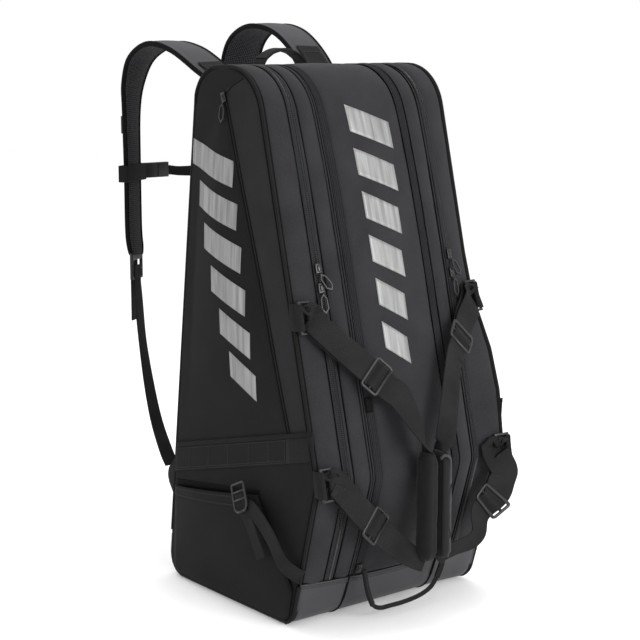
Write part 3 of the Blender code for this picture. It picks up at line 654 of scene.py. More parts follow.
# %% Zip end patch
rows, flat = [], []
for z in (0.3040, 0.3095, 0.3150, 0.3205, 0.3240):
    rows.append([face_point(x, z, stand) for x, stand in
                 ((-0.0785, 0.0010), (-0.0760, 0.0026), (-0.0710, 0.0028), (-0.0675, 0.0020))])
    flat.append([(p.x, p.z) for p in rows[-1]])
piece = thicken(lay("left_zip_end", rows, flat, [TAPE_AND_SEAM_SHADE], facing=(0, -1, 0)), 0.0008, False)
place_on(piece, "bag", "shell_fabric")
print("zip end patch of", len(rows), "rows")

# %% [markdown]
# A coil zip is two nylon spirals sewn to woven tape. Seen from outside it is a ribbon of slanted
# ridges. One ridge is a bent block of a few faces, repeated every 2.6 mm; the real pitch is 1.6 mm
# and is drawn wider so that it shows. The outer row belongs to the cover and the inner to the bag.

# %% Coil zips
COIL_PITCH, COIL_STAND = 0.0026, 0.0002


def coil_row(name, x, sign, lean):
    line, _ = front_line(SKIRT, COIL_PITCH)
    bm = bmesh.new()
    for i in range(1, len(line) - 1):
        dy, dz = line[i + 1] - line[i - 1]
        size = math.hypot(dy, dz)
        along = Vector((0, dy / size, dz / size))
        out = Vector((0, -dz / size, dy / size))
        wide = Vector((sign, 0, 0))
        y, z = line[i]
        centre = Vector((x, y - crown_at(x, y, z), z)) + out * COIL_STAND
        profile = ((-0.0019, -0.0008), (-0.0011, 0.0006), (0.0009, 0.0007), (0.0019, -0.0006))
        rings = []
        for u, v in profile:
            skew = along * (u * lean)
            core = centre + wide * u + out * v + skew
            ring = [core + along * (s * 0.0009) + out * t
                    for s, t in ((-1, -0.0003), (0, 0.0005), (1, -0.0003))]
            rings.append([bm.verts.new(p) for p in ring])
        for near, far in zip(rings, rings[1:]):
            for a in range(3):
                b = (a + 1) % 3
                bm.faces.new((near[a], near[b], far[b], far[a]))
        bm.faces.new(rings[0])
        bm.faces.new(list(reversed(rings[-1])))
    bmesh.ops.recalc_face_normals(bm, faces=bm.faces)
    return piece_of(name, bm, [COIL])


for side, sign in SIDES:
    cover = side + "_cover"
    piece = front_strip(side + "_zip_tape", [(sign * 0.1260, -0.0012), (sign * 0.1200, -0.0014)],
                        [TAPE_AND_SEAM_SHADE], 0.0008, wave=False)
    place_on(piece, cover, "zip_chain")
    piece = front_strip(side + "_inner_zip_tape", [(sign * 0.1198, -0.0014), (sign * 0.1152, -0.0012)],
                        [TAPE_AND_SEAM_SHADE], 0.0008, wave=False)
    place_on(piece, "bag", "zip_chain", side + "_main_zip")
    place_on(coil_row(side + "_outer_coil", sign * 0.1218, sign, 0.45), cover, "zip_chain")
    place_on(coil_row(side + "_inner_coil", sign * 0.1181, sign, -0.45), "bag", "zip_chain")
    piece = seam_line(side + "_zip_bead", sign * 0.1250, 0.0000, 0.0011, SHELL)
    place_on(piece, cover, "shell_fabric")
    piece = seam_line(side + "_inner_zip_bead", sign * 0.1155, 0.0000, 0.0009, SHELL)
    place_on(piece, "bag", "shell_fabric")
print("coils laid on both side zips")

# %% [markdown]
# Each side cover is one soft panel, cut to the side view. It stays flat along its long zip and
# swells behind it, where a flat pocket lies. The panel is a grid from front to back edge, pushed
# out by a function of depth and height; everything sewn to the side asks the same function.

# %% Side panels
POCKET_RISE = 0.0115
ZIP_TOP, ZIP_FOOT = (-0.008, 0.729), (-0.148, 0.279)


def side_x(y, z):
    """How far out the side panel lies."""
    front, back = edge_depth(z)
    u = min(max((y - front) / max(back - front, 0.01), 0), 1)
    w = min(max(z / HEIGHT, 0), 1)
    swell = 0.0016 * math.sin(math.pi * u) ** 0.5
    start = -0.008 + (z - 0.708) * 0.292
    end = 0.052 + (0.640 - z) * 0.113
    low, high = 0.262 - 0.25 * y, 0.706 - 1.1 * max(y, 0)
    a = (y - start) / max(end - start, 0.01)
    b = (z - low) / max(high - low, 0.01)
    pocket = 0.0
    if 0 < a < 1 and 0 < b < 1:
        pocket = POCKET_RISE * (math.sin(math.pi * a) * math.sin(math.pi * b)) ** 0.85
    edge = 0.0022 * math.exp(-min(u, 1 - u) * (back - front) / 0.004)
    foot = 0.004 * max(0, 1 - z / 0.020) ** 2
    waves = 0.0011 * noise.noise(Vector((y * 11, z * 9, 0.3))) * math.sin(math.pi * w)
    return HALF_WIDTH + swell + pocket + waves - edge - foot


def side_point(sign, y, z, lift=0.0):
    return Vector((sign * (side_x(y, z) + lift), y, z))


def side_sheet(name, sign, low, high, materials, count=46, step=0.006, depth=0.0016):
    heights = [z for z in FRONT_HEIGHTS if low < z < high - 0.001]
    levels = [low]
    for z in heights + [high]:
        if z - levels[-1] > step * (0.25 if z > 0.74 or z < 0.02 else 1) or z == high:
            levels.append(z)
    rows, flat = [], []
    for z in levels:
        front, back = edge_depth(z)
        front, back = front + 0.0045, back - 0.0015
        row = []
        for k in range(count + 1):
            share = 0.5 - 0.5 * math.cos(math.pi * k / count)
            row.append(side_point(sign, front + (back - front) * share, z))
        rows.append(row)
        flat.append([(p.y, p.z) for p in row])

    # Ahead of the concealed zip the side takes its lighter copy: painted light on the front part of a side in
    # painted shade.
    def part(i, j):
        y, z = rows[i][j].y, rows[i][j].z
        share = min(max((z - ZIP_FOOT[1]) / (ZIP_TOP[1] - ZIP_FOOT[1]), 0), 1)
        line = ZIP_FOOT[0] + (ZIP_TOP[0] - ZIP_FOOT[0]) * share
        if z > ZIP_TOP[1]:
            line = ZIP_TOP[0] - (z - ZIP_TOP[1]) * 1.86
        return 2 if len(materials) > 2 and y < line and z > ZIP_FOOT[1] - 0.03 else 0

    return thicken(lay(name, rows, flat, materials, facing=(sign, 0, 0), pick=part), depth)


def side_patch(name, sign, corners, lift, materials, across=8, along=24, depth=0.0008, swell=0.0):
    """A patch on the side between four corners: lower front, lower back, upper back, upper front."""
    a, b, c, d = (Vector(p) for p in corners)
    rows, flat = [], []
    for i in range(along + 1):
        row = []
        for j in range(across + 1):
            v, u = i / along, j / across
            y, z = a.lerp(b, u).lerp(d.lerp(c, u), v)
            rise = swell * math.sin(math.pi * u) * math.sin(math.pi * v)
            row.append(side_point(sign, y, z, lift + rise))
        rows.append(row)
        flat.append([(p.y, p.z) for p in row])
    return thicken(lay(name, rows, flat, materials, facing=(sign, 0, 0)), depth, lined=False)


def side_line(sign, points, lift, step=0.005):
    """A line on the side panel through points of depth and height."""
    line, _ = evenly(points, step)
    return [side_point(sign, y, z, lift) for y, z in line]


def side_seam(name, sign, points, radius, material, lift=0.0, sides=6, squash=1.0):
    return tube(name, side_line(sign, points, lift), radius, material, sides, squash, Vector((1, 0, 0)))


for side, sign in SIDES:
    cover = side + "_cover"
    # The side panel's darker cloth is painted shade; its front part takes the lighter copy, painted light.
    piece = side_sheet(side + "_side_panel", sign, SKIRT, 0.7695, [SIDE_PAINTED_SHADE, LINING, SIDE_FRONT_PAINTED_LIGHT, LINING])
    place_on(piece, cover, "shell_fabric", side + "_cover_shell", side + "_long_pocket")
    piece = side_sheet(side + "_side_foot", sign, 0.0012, SKIRT - 0.0004, [SIDE_PAINTED_SHADE, LINING], step=0.004)
    place_on(piece, "bag", "shell_fabric")
print("side panels reach", round(max(side_x(-0.02, z / 100) for z in range(30, 70)), 4), "m out")

# %% [markdown]
# Piping covers the seam between the side and the front. It is a bead of cloth round a cord, and
# the dark lines on both sides of it are thin near-black tubes, painted shade in the gaps that the
# seam leaves. It runs all round the cover, and a short length goes on below, down to the floor, on
# the part that stays.

# %% Piping round the side panels
PIPE = 0.0027


def pipe_route(sign, low, high, inset, out):
    """Points beside the edge of the side view, between two places along the front line."""
    line, gone = front_line(0.0, 0.006)
    route = []
    for i, (y, z) in enumerate(line):
        if not low <= gone[i] <= high:
            continue
        dy, dz = line[min(i + 1, len(line) - 1)] - line[max(i - 1, 0)]
        size = math.hypot(dy, dz)
        route.append(Vector((sign * out, y + dz / size * inset, z - dy / size * inset)))
    return route


def along_front(z):
    """How far along the front line a height is reached."""
    line, gone = front_line(0.0, 0.006)
    return float(np.interp(z, line[: int(np.argmax(line[:, 1])), 1], gone[: int(np.argmax(line[:, 1]))]))


SEAM = along_front(SKIRT)
for side, sign in SIDES:
    cover = side + "_cover"
    back = [Vector((sign * 0.1632, edge_depth(z)[1] - 0.002, z)) for z in np.linspace(0.715, 0.070, 90)]
    # Beside the bead, thin near-black tubes are painted shade in the seam's two gaps.
    for label, inset, out, radius, cloth in (
        ("piping", 0.0012, 0.1638, PIPE, SIDE_PAINTED_SHADE),
        ("piping_side_gap", 0.0046, 0.1650, 0.0016, TAPE_AND_SEAM_SHADE),
        ("piping_front_gap", 0.0010, 0.1602, 0.0016, TAPE_AND_SEAM_SHADE),
    ):
        route = pipe_route(sign, SEAM + 0.001, 9.0, inset, out)
        if label == "piping":
            route = route[:-2] + back
        piece = tube(f"{side}_{label}", route, radius, cloth, 10, 1.0, Vector((1, 0, 0)))
        place_on(piece, cover, "shell_fabric")
        low_route = pipe_route(sign, 0.012, SEAM - 0.001, inset, out)
        piece = tube(f"{side}_{label}_foot", low_route, radius, cloth, 10, 1.0, Vector((1, 0, 0)))
        place_on(piece, "bag", "shell_fabric")

# %% [markdown]
# The long zip on the side is concealed: two welts meet over the coil, so only a dark line between
# two soft ridges shows, and it ends in the band. A dart, one sewn line, closes the corner above.

# %% Concealed zip and dart
for side, sign in SIDES:
    cover = side + "_cover"
    foot = (ZIP_FOOT[0] - 0.002, ZIP_FOOT[1] - 0.004)
    for label, shift in (("front", -0.0036), ("back", 0.0036)):
        points = [(ZIP_TOP[0] + shift, ZIP_TOP[1]), (foot[0] + shift, foot[1])]
        piece = side_seam(f"{side}_zip_welt_{label}", sign, points, 0.0022, SIDE_PAINTED_SHADE, 0.0, 8, 0.62)
        place_on(piece, cover, "shell_fabric")
        edge = [(points[0][0] + shift * 0.62, points[0][1]), (points[1][0] + shift * 0.62, points[1][1])]
        # Near-black lines along the welts: painted shade in their seams.
        piece = side_seam(f"{side}_zip_welt_seam_{label}", sign, edge, 0.0007, TAPE_AND_SEAM_SHADE, 0.0004)
        place_on(piece, cover, "shell_fabric")
    # The coil is near-black: its own black, with painted shade from the welts over it.
    piece = side_seam(side + "_side_coil", sign, [ZIP_TOP, foot], 0.0014, TAPE_AND_SEAM_SHADE, 0.0004)
    place_on(piece, cover, "zip_chain")
    # The dart is a near-black line: painted shade in its fold.
    dart = [ZIP_TOP, (-0.030, 0.744), (-0.0535, 0.7535)]
    piece = side_seam(side + "_corner_dart", sign, dart, 0.0007, TAPE_AND_SEAM_SHADE, 0.0002)
    place_on(piece, cover, "shell_fabric")

# %% [markdown]
# Across the lower part runs a reinforcing band. A doubled strip of the shell cloth is sewn in
# boxes, so that gear can be tied to it, with a patch of coarse webbing at its front end, and a
# thin hem stands along its top.

# %% Reinforcing band
BAND_TOP = ((0.1270, 0.206), (-0.2035, 0.286))
BAND_FOOT = ((0.1310, 0.164), (-0.2055, 0.248))


def on_band(u, v):
    """Along the band from back to front, and up from its foot."""
    low = Vector(BAND_FOOT[0]).lerp(Vector(BAND_FOOT[1]), u)
    return low.lerp(Vector(BAND_TOP[0]).lerp(Vector(BAND_TOP[1]), u), v)


for side, sign in SIDES:
    cover = side + "_cover"
    corners = (on_band(0.835, 0), on_band(0.0, 0), on_band(0.0, 1), on_band(0.835, 1))
    piece = side_patch(side + "_band", sign, corners, 0.0016, [SIDE_PAINTED_SHADE], 54, 8, 0.0014)
    place_on(piece, cover, "shell_fabric")
    corners = (on_band(0.995, 0.02), on_band(0.83, 0.02), on_band(0.83, 0.93), on_band(0.995, 0.93))
    piece = side_patch(side + "_band_patch", sign, corners, 0.0023, [WEBBING], 6, 8, 0.0018)
    place_on(piece, cover, "webbing")
    corners = (on_band(0.995, 0.93), on_band(0.0, 0.93), on_band(0.0, 1.10), on_band(0.995, 1.10))
    piece = side_patch(side + "_band_hem", sign, corners, 0.0026, [SIDE_PAINTED_SHADE], 54, 3, 0.0012)
    place_on(piece, cover, "shell_fabric")
    rows = [[on_band(u, v) for u in (0.02, 0.83)] for v in (0.06, 0.13, 0.86)]
    rows += [[on_band(u, v) for v in (0.14, 0.86)] for u in (0.12, 0.27, 0.42, 0.57, 0.71, 0.82)]
    lines = [[tuple(side_point(sign, y, z, 0.0019)) for y, z in evenly(row, 0.01)[0]] for row in rows]
    stitches(side + "_band_thread", lines, (sign, 0, 0), cover, "webbing")

# %% [markdown]
# The lower pocket is a patch pocket for a bottle or a towel: sewn down at the back, at the foot
# and along a slanting front edge, with an open hem that stands away from the panel so that the
# dark inside shows; a near-black strip under the hem is painted shade for that inside, and a
# near-black line along the front edge is painted shade in its seam. Its grid bulges most just
# under the hem.

# %% Lower pocket
HEM_BACK, HEM_FRONT = Vector((0.1290, 0.142)), Vector((-0.084, 0.174))
POCKET_KNEE, POCKET_TOE = Vector((-0.1600, 0.058)), Vector((-0.1480, 0.007))
POCKET_HEEL = Vector((0.1380, 0.007))
KNEE_SHARE = 0.32


def pocket_point(sign, u, v, lift=0.0):
    """From the back edge (u 0) to the front one, and from the foot (v 0) to the hem."""
    if v < KNEE_SHARE:
        front = POCKET_TOE.lerp(POCKET_KNEE, v / KNEE_SHARE)
    else:
        front = POCKET_KNEE.lerp(HEM_FRONT, (v - KNEE_SHARE) / (1 - KNEE_SHARE))
    y, z = POCKET_HEEL.lerp(HEM_BACK, v).lerp(front, u)
    bulge = 0.0105 * (math.sin(math.pi * u) ** 0.6) * (0.10 + 0.90 * math.sin(0.5 * math.pi * v) ** 0.8)
    point = side_point(sign, y, z, 0.0018 + bulge + lift)
    point.x += sign * 0.0010 * noise.noise(Vector((y * 16, z * 16, 1.7)))
    return point


for side, sign in SIDES:
    cover = side + "_cover"
    rows = [[pocket_point(sign, j / 34, i / 20) for j in range(35)] for i in range(21)]
    flat = [[(p.y, p.z) for p in row] for row in rows]
    piece = thicken(lay(side + "_patch_pocket", rows, flat, [SIDE_PAINTED_SHADE, LINING], facing=(sign, 0, 0)), 0.0014)
    place_on(piece, cover, "shell_fabric", side + "_lower_pocket")
    rows = [[pocket_point(sign, j / 34, 0.90 + 0.11 * i / 4, 0.0011) for j in range(35)] for i in range(5)]
    flat = [[(p.y, p.z) for p in row] for row in rows]
    piece = thicken(lay(side + "_pocket_hem", rows, flat, [SIDE_PAINTED_SHADE], facing=(sign, 0, 0)), 0.0034, False)
    place_on(piece, cover, "shell_fabric")
    # Near-black strip under the hem: painted shade for the pocket's open inside.
    corners = (HEM_FRONT, HEM_BACK, HEM_BACK + Vector((0, 0.012)), HEM_FRONT + Vector((0, 0.009)))
    piece = side_patch(side + "_pocket_mouth", sign, corners, 0.0006, [TAPE_AND_SEAM_SHADE], 30, 3, 0.0004)
    place_on(piece, cover, "shell_fabric")
    # Near-black line along the front edge: painted shade in its seam.
    front = [pocket_point(sign, 1, 0.3 + 0.7 * i / 16, 0.0006) for i in range(17)]
    piece = tube(side + "_pocket_edge", front, 0.0011, TAPE_AND_SEAM_SHADE, 6, 1.0, Vector((1, 0, 0)))
    place_on(piece, cover, "shell_fabric")
    lines = [[tuple(pocket_point(sign, j / 20, v, 0.0014)) for j in range(21)] for v in (0.915, 0.985)]
    stitches(side + "_pocket_thread", lines, (sign, 0, 0), cover, "webbing")
print("pockets stand", round(abs(pocket_point(1, 0.5, 1).x) - HALF_WIDTH, 4), "m off the side")

# %% [markdown]
# The base is one tray of tarpaulin that wraps under the bag and up the front, where it ends in a
# doubled seam that bows up slightly at both sides. It is laid on the same side view, carried on
# below the front panels. The back edge comes up behind in the same way.

# %% Tarpaulin base
arcs = side_arcs(0.0)
knee, foot = arcs[1][0], arcs[0][-1]
front_top = foot.lerp(knee, (0.064 - foot.y) / (knee.y - foot.y))
heel, back_up = arcs[4][0], arcs[3][-1]
back_top = heel.lerp(back_up, (0.062 - heel.y) / (back_up.y - heel.y))
tray_line, tray_gone = evenly([back_top] + arcs[4] + arcs[0] + [front_top], 0.005)
across = [-0.1625 + 0.325 * k / 36 for k in range(37)]
rows, flat = [], []
for i, (y, z) in enumerate(tray_line):
    dy, dz = tray_line[min(i + 1, len(tray_line) - 1)] - tray_line[max(i - 1, 0)]
    size = math.hypot(dy, dz)
    row = []
    for x in across:
        groove = sum(math.exp(-((x - s * DIVIDER) / 0.0016) ** 2) for s in (-1, 1))
        lift = 0.0008 - 0.0016 * groove if z > 0.03 else 0.0
        bow = 0.004 * (x / HALF_WIDTH) ** 2 * max(0.0, (z - 0.03) / 0.034) if y < 0 else 0.0
        point = (x, y - crown_at(x, y, z) - dz / size * lift, max(z + dy / size * lift + bow, 0.0))
        row.append(point)
    rows.append(row)
    flat.append([(x, tray_gone[i]) for x in across])
piece = thicken(lay("base_tray", rows, flat, [TARP, LINING]), 0.0018)
middle = piece.data.polygons[len(piece.data.polygons) // 4]
print("tray normal", tuple(round(c, 2) for c in middle.normal))
place_on(piece, "bag", "tarpaulin", "base_tub")
rim = [Vector(row_point) for row_point in rows[-1]]
piece = tube("tray_seam", [p + Vector((0, -0.0004, 0.0004)) for p in rim], 0.0011, TAPE_AND_SEAM_SHADE, 6)
place_on(piece, "bag", "tarpaulin")
lines = [[(p.x, p.y - 0.0010, p.z - d) for p in rim] for d in (0.0035, 0.0065)]
stitches("tray_thread", lines, (0, -1, 0.15), "bag", "tarpaulin")
# Near-black tubes carry the compartment grooves down the tarpaulin: painted shade in them.
for side, sign in SIDES:
    line = [Vector(rows[i][0]) for i in range(len(rows)) if rows[i][0][1] < -0.11]
    route = [Vector((sign * 0.0832, p.y - crown_at(0.083, p.y, p.z), p.z)) for p in line]
    piece = tube(side + "_tray_seam", route, 0.0016, TAPE_AND_SEAM_SHADE, 6, 1.0, Vector((1, 0, 0)))
    place_on(piece, "bag", "tarpaulin")

# %% [markdown]
# The back lies against the wearer, so it is a foam panel under spacer mesh with three upright
# channels for air between four pads. Behind the zips two flat walls divide the bag.

# %% Back panel and dividing walls
rows, flat = [], []
for i in range(91):
    z = 0.063 + (0.7600 - 0.063) * i / 90
    top, low = min(1.0, (0.7600 - z) / 0.02), min(1.0, (z - 0.063) / 0.02)
    row = []
    for j in range(49):
        x = -0.1600 + 0.32 * j / 48
        pads = 0.5 - 0.5 * math.cos(2 * math.pi * (x + 0.16) / 0.08)
        lift = -0.0012 + 0.0042 * pads**0.6 * min(top, low) ** 0.5
        row.append((x, edge_depth(min(z, 0.705))[1] - max(0.0, z - 0.705) * 0.30 + lift - 0.0008, z))
    rows.append(row)
    flat.append([(p[0], p[2]) for p in row])
piece = thicken(lay("back_pads", rows, flat, [MESH_CLOTH, LINING], facing=(0, 1, 0)), 0.006)
place_on(piece, "bag", "pad_fabric", "back_panel")
for side, sign in SIDES:
    rows, flat = [], []
    for z in np.linspace(0.068, 0.762, 60):
        front, back = edge_depth(z)
        ys = [front + 0.007 + (back - front - 0.016) * k / 24 for k in range(25)]
        x = sign * 0.0825
        rows.append([(x + sign * 0.0012 * noise.noise(Vector((y * 14, z * 14, 4.0))),
                      y - crown_at(x, y, z) * 0.9, z) for y in ys])
        flat.append([(y, z) for y in ys])
    piece = thicken(lay(side + "_dividing_wall", rows, flat, [LINING], facing=(sign, 0, 0)), 0.002, False)
    place_on(piece, "bag", "shell_fabric")
print("back pads and walls in place")

# %% [markdown]
# The moulded hardware is already right in size and place, but its corners are sharp as cut. A copy
# of each piece is welded, its flat faces are cleaned, and a Bevel rounds the bars, as a mould
# does. The copy then stands for the original.

# %% Rounded hardware
def soften(name, node_name, bevel, material, body, slot):
    piece = bpy.data.objects.new(name, frame["nodes"][node_name].data.copy())
    bpy.context.scene.collection.objects.link(piece)
    piece.data.materials.clear()
    piece.data.materials.append(material)
    alone(piece)
    bpy.ops.object.mode_set(mode="EDIT")
    bpy.ops.mesh.select_all(action="SELECT")
    bpy.ops.mesh.remove_doubles(threshold=0.00002)
    bpy.ops.mesh.dissolve_limited(angle_limit=math.radians(2))
    bpy.ops.object.mode_set(mode="OBJECT")
    rounding = piece.modifiers.new("rounding", "BEVEL")
    rounding.width = bevel
    rounding.segments = 3
    rounding.limit_method = "ANGLE"
    rounding.angle_limit = math.radians(30)
    apply_all(piece)
    bpy.ops.object.shade_smooth_by_angle(angle=math.radians(50))
    return place_on(piece, body, slot, node_name)


def bar_frame(name, centre, run, wide, size, bars, thick, toe=0.0):
    """A loop of round bar with cross bars: size is along and across; toe rounds its far end more."""
    half, reach = size[0] / 2, size[1] / 2
    out = run.cross(wide)
    corner = 0.0035
    outline = []
    for along, across, turn, round_by in ((1, 1, 0, corner + toe), (-1, 1, 90, corner), (-1, -1, 180, corner),
                                          (1, -1, 270, corner + toe)):
        middle = run * (along * (half - round_by)) + wide * (across * (reach - round_by))
        for k in range(5):
            a = math.radians(turn + 22.5 * k)
            outline.append(centre + middle + (run * math.cos(a) + wide * math.sin(a)) * round_by)
    outline.append(outline[0].lerp(outline[1], 0.2))
    loop = tube(name, outline, thick, ACETAL, 10, 0.85, out)
    parts = [loop]
    for k, place in enumerate(bars):
        ends = [centre + run * (place * half) + wide * (reach * e) for e in (-0.97, 0.97)]
        parts.append(tube(f"{name}_bar_{k}", ends, thick * 0.9, ACETAL, 10, 0.85, out))
    bpy.ops.object.select_all(action="DESELECT")
    for part in parts:
        part.select_set(True)
    bpy.context.view_layer.objects.active = loop
    bpy.ops.object.join()
    return loop


for side, sign in SIDES:
    handle, cover = side + "_handle", side + "_cover"
    soften(side + "_ring_top", side + "_upper_ring", 0.0016, ACETAL, handle, "moulded_plastic")
    soften(side + "_ring_bottom", side + "_lower_ring", 0.0016, ACETAL, handle, "moulded_plastic")
    soften(side + "_strap_lock", side + "_ladder_lock", 0.0015, ACETAL, "bag", "moulded_plastic")
    for label in ("side_zip", "main_upper", "main_lower"):
        body = f"{side}_{label}_slider"
        soften(f"{side}_{label}_car", body, 0.0009, ENAMEL, body, "zip_metal")
    soften(side + "_centre_car", side + "_centre_slider", 0.0009, ENAMEL, side + "_centre_slider",
           "zip_metal")
soften("buckle_socket", "buckle_female", 0.0016, ACETAL, "sternum_strap", "moulded_plastic")
soften("buckle_plug", "buckle_male", 0.0010, ACETAL, "buckle_male", "moulded_plastic")
soften("clip_loop", "accessory_ring", 0.0011, ACETAL, "accessory_ring", "moulded_plastic")
soften("left_chest_loop", "left_sternum_keeper", 0.0008, WEBBING, "sternum_strap", "webbing")
soften("right_chest_loop", "right_sternum_keeper", 0.0008, WEBBING, "sternum_strap", "webbing")

# %% [markdown]
# A zip pull is a long six-sided loop of acetal, narrow where it hangs from the slider. A circle
# of six corners is stretched, inset, opened and given its thickness, all in edit mode, and its
# edges are rounded. One outline serves every pull; only the hinge it hangs from changes.

# %% Zip pulls
PULL_LENGTH, PULL_WIDTH, PULL_BAR = 0.0295, 0.0125, 0.0026


def pull(name, hinge, right, up, out, body):
    bpy.ops.object.select_all(action="DESELECT")
    bpy.ops.mesh.primitive_circle_add(vertices=6, radius=0.5, fill_type="NGON")
    piece = bpy.context.object
    piece.name = name
    bpy.ops.object.mode_set(mode="EDIT")
    bpy.ops.mesh.select_all(action="SELECT")
    bpy.ops.transform.resize(value=(PULL_WIDTH * 1.155, PULL_LENGTH, 1))
    bpy.ops.mesh.inset(thickness=PULL_BAR)
    bpy.ops.mesh.delete(type="FACE")
    bpy.ops.mesh.select_all(action="SELECT")
    bpy.ops.mesh.extrude_region_move(TRANSFORM_OT_translate={"value": (0, 0, 0.0022)})
    bpy.ops.mesh.select_all(action="SELECT")
    bpy.ops.mesh.normals_make_consistent(inside=False)
    bpy.ops.object.mode_set(mode="OBJECT")
    for vertex in piece.data.vertices:
        place = vertex.co.y / PULL_LENGTH
        vertex.co.x *= 1 - 0.35 * max(place, 0) * 2
        vertex.co.y -= PULL_LENGTH / 2 - 0.0005
    rounding = piece.modifiers.new("rounding", "BEVEL")
    rounding.width = 0.0007
    rounding.segments = 3
    apply_all(piece)
    bpy.ops.object.shade_smooth_by_angle(angle=math.radians(50))
    rows = Matrix((right, up, out)).transposed().to_4x4()
    piece.data.transform(Matrix.Translation(hinge) @ rows)
    piece.data.materials.append(ACETAL)
    return place_on(piece, body, "moulded_plastic", body)


PULL_LEAN = math.radians(31)
for side, sign in SIDES:
    for label, z, travel in (("upper", 0.500, 0.155), ("lower", 0.474, -0.195)):
        x = sign * MAIN_ZIP
        out = face_frame(x, z)[2]
        at = face_point(x, z, 0.002)
        along = (face_point(x, z + travel, 0.002) - at).normalized() * math.copysign(1, travel)
        lean = Matrix.Rotation(PULL_LEAN if label == "upper" else 0.0, 3, out)
        hinge = at - along * 0.0075 + out * 0.004
        pull(f"{side}_{label}_zip_pull", hinge, lean @ along.cross(out), lean @ along, out,
             f"{side}_main_{label}_pull")
    out = Vector((sign, 0, 0))
    top, foot = Vector((0, -0.010, 0.727)), Vector((0, -0.147, 0.285))
    along = (top - foot).normalized()
    hinge = top + out * (HALF_WIDTH + 0.0065) - along * 0.0075
    hang = Vector((0, -0.15, 1)).normalized()
    pull(side + "_pocket_zip_pull", hinge, hang.cross(out), hang, out, side + "_side_zip_pull")

# %% [markdown]
# A flat cord ties the two middle sliders together, so that one hand opens both pockets. It hangs
# from the left slider, crosses just above the floor in front of the bag and climbs to the right one.
# It is soft and short.

# %% Pull loop of flat cord
LOOP_ROUTE = (
    (-0.0735, -0.2020, 0.078), (-0.0722, -0.2045, 0.060), (-0.0670, -0.2045, 0.040),
    (-0.0590, -0.2035, 0.0240), (-0.0450, -0.2030, 0.0160), (-0.0250, -0.2030, 0.0150),
    (-0.0040, -0.2035, 0.0150), (0.0160, -0.2040, 0.0165), (0.0360, -0.2040, 0.0200),
    (0.0520, -0.2040, 0.0270), (0.0620, -0.2045, 0.0390), (0.0690, -0.2045, 0.0520),
    (0.0725, -0.2045, 0.0640), (0.0735, -0.2020, 0.078),
)
LOOP_WIDTH = 0.0065
loop_line = curve_through(LOOP_ROUTE, 6)
spans = []
for near, far in zip(LOOP_ROUTE[:1] + LOOP_ROUTE[:-1], LOOP_ROUTE[1:] + LOOP_ROUTE[-1:]):
    along = (Vector(far) - Vector(near)).normalized()
    spans.append((Vector((-along.z, 0, along.x)) + Vector((0, 0.45, 0))).normalized())
loop = strap("pull_loop", LOOP_ROUTE, spans, LOOP_WIDTH, 0.0018, [WEBBING])
place_on(loop, "left_centre_slider", "webbing", "centre_pull_loop")
for side, sign in SIDES:
    near = spans[:4] if sign < 0 else spans[-4:]
    tab = [Vector(p) + Vector((0, -0.0004, 0)) for p in (LOOP_ROUTE[:4] if sign < 0 else LOOP_ROUTE[-4:])]
    piece = strap(side + "_loop_tab", tab, near, 0.0082, 0.0046, [WEBBING])
    place_on(piece, "left_centre_slider", "webbing")

# %% [markdown]
# Each carry handle is one belt of 38 mm webbing. It is sewn round a ring at the side seam, runs
# through a three-bar slider and ends in the padded grip. The belt turns round the ring's bar and
# comes back under itself, so the route starts under the slider and goes round the bar first.

# %% Carry straps
GRIP_DEPTH, GRIP_LOW, GRIP_HIGH = -0.262, 0.086, 0.246
SLIDER_SIZE, SLIDER_BAR = (0.0265, 0.0455), 0.0023
BELT_WIDTH, BELT_THICKNESS = 0.038, 0.0019


def ring_frame(sign, high=True):
    top, low = face_point(sign * 0.159, 0.436, 0.0105), face_point(sign * 0.163, 0.218, 0.0105)
    axis = (top - low).normalized()
    right = Vector((-sign, 0, 0))
    right = (right - axis * right.dot(axis)).normalized()
    return (top if high else low), axis, right


def round_bar(bar, onward, out, gap=0.0037):
    """Points that turn a belt round a bar, from underneath to the top."""
    result = []
    for degrees in (-90, -125, -155, -180, -205, -235, -270):
        a = math.radians(degrees)
        result.append(bar + onward * gap * math.cos(a) + out * gap * math.sin(a))
    return result


def glide_frames(sign, glide_x):
    start = face_point(sign * 0.1385, 0.4265, 0.013)
    drop = (0.1385 - glide_x) * 1.05
    glide = face_point(sign * glide_x, 0.4265 - drop, 0.019)
    run = (glide - start).normalized()
    out = face_frame(sign * glide_x, 0.4265 - drop)[2]
    return start, glide, run, out, out.cross(run).normalized()


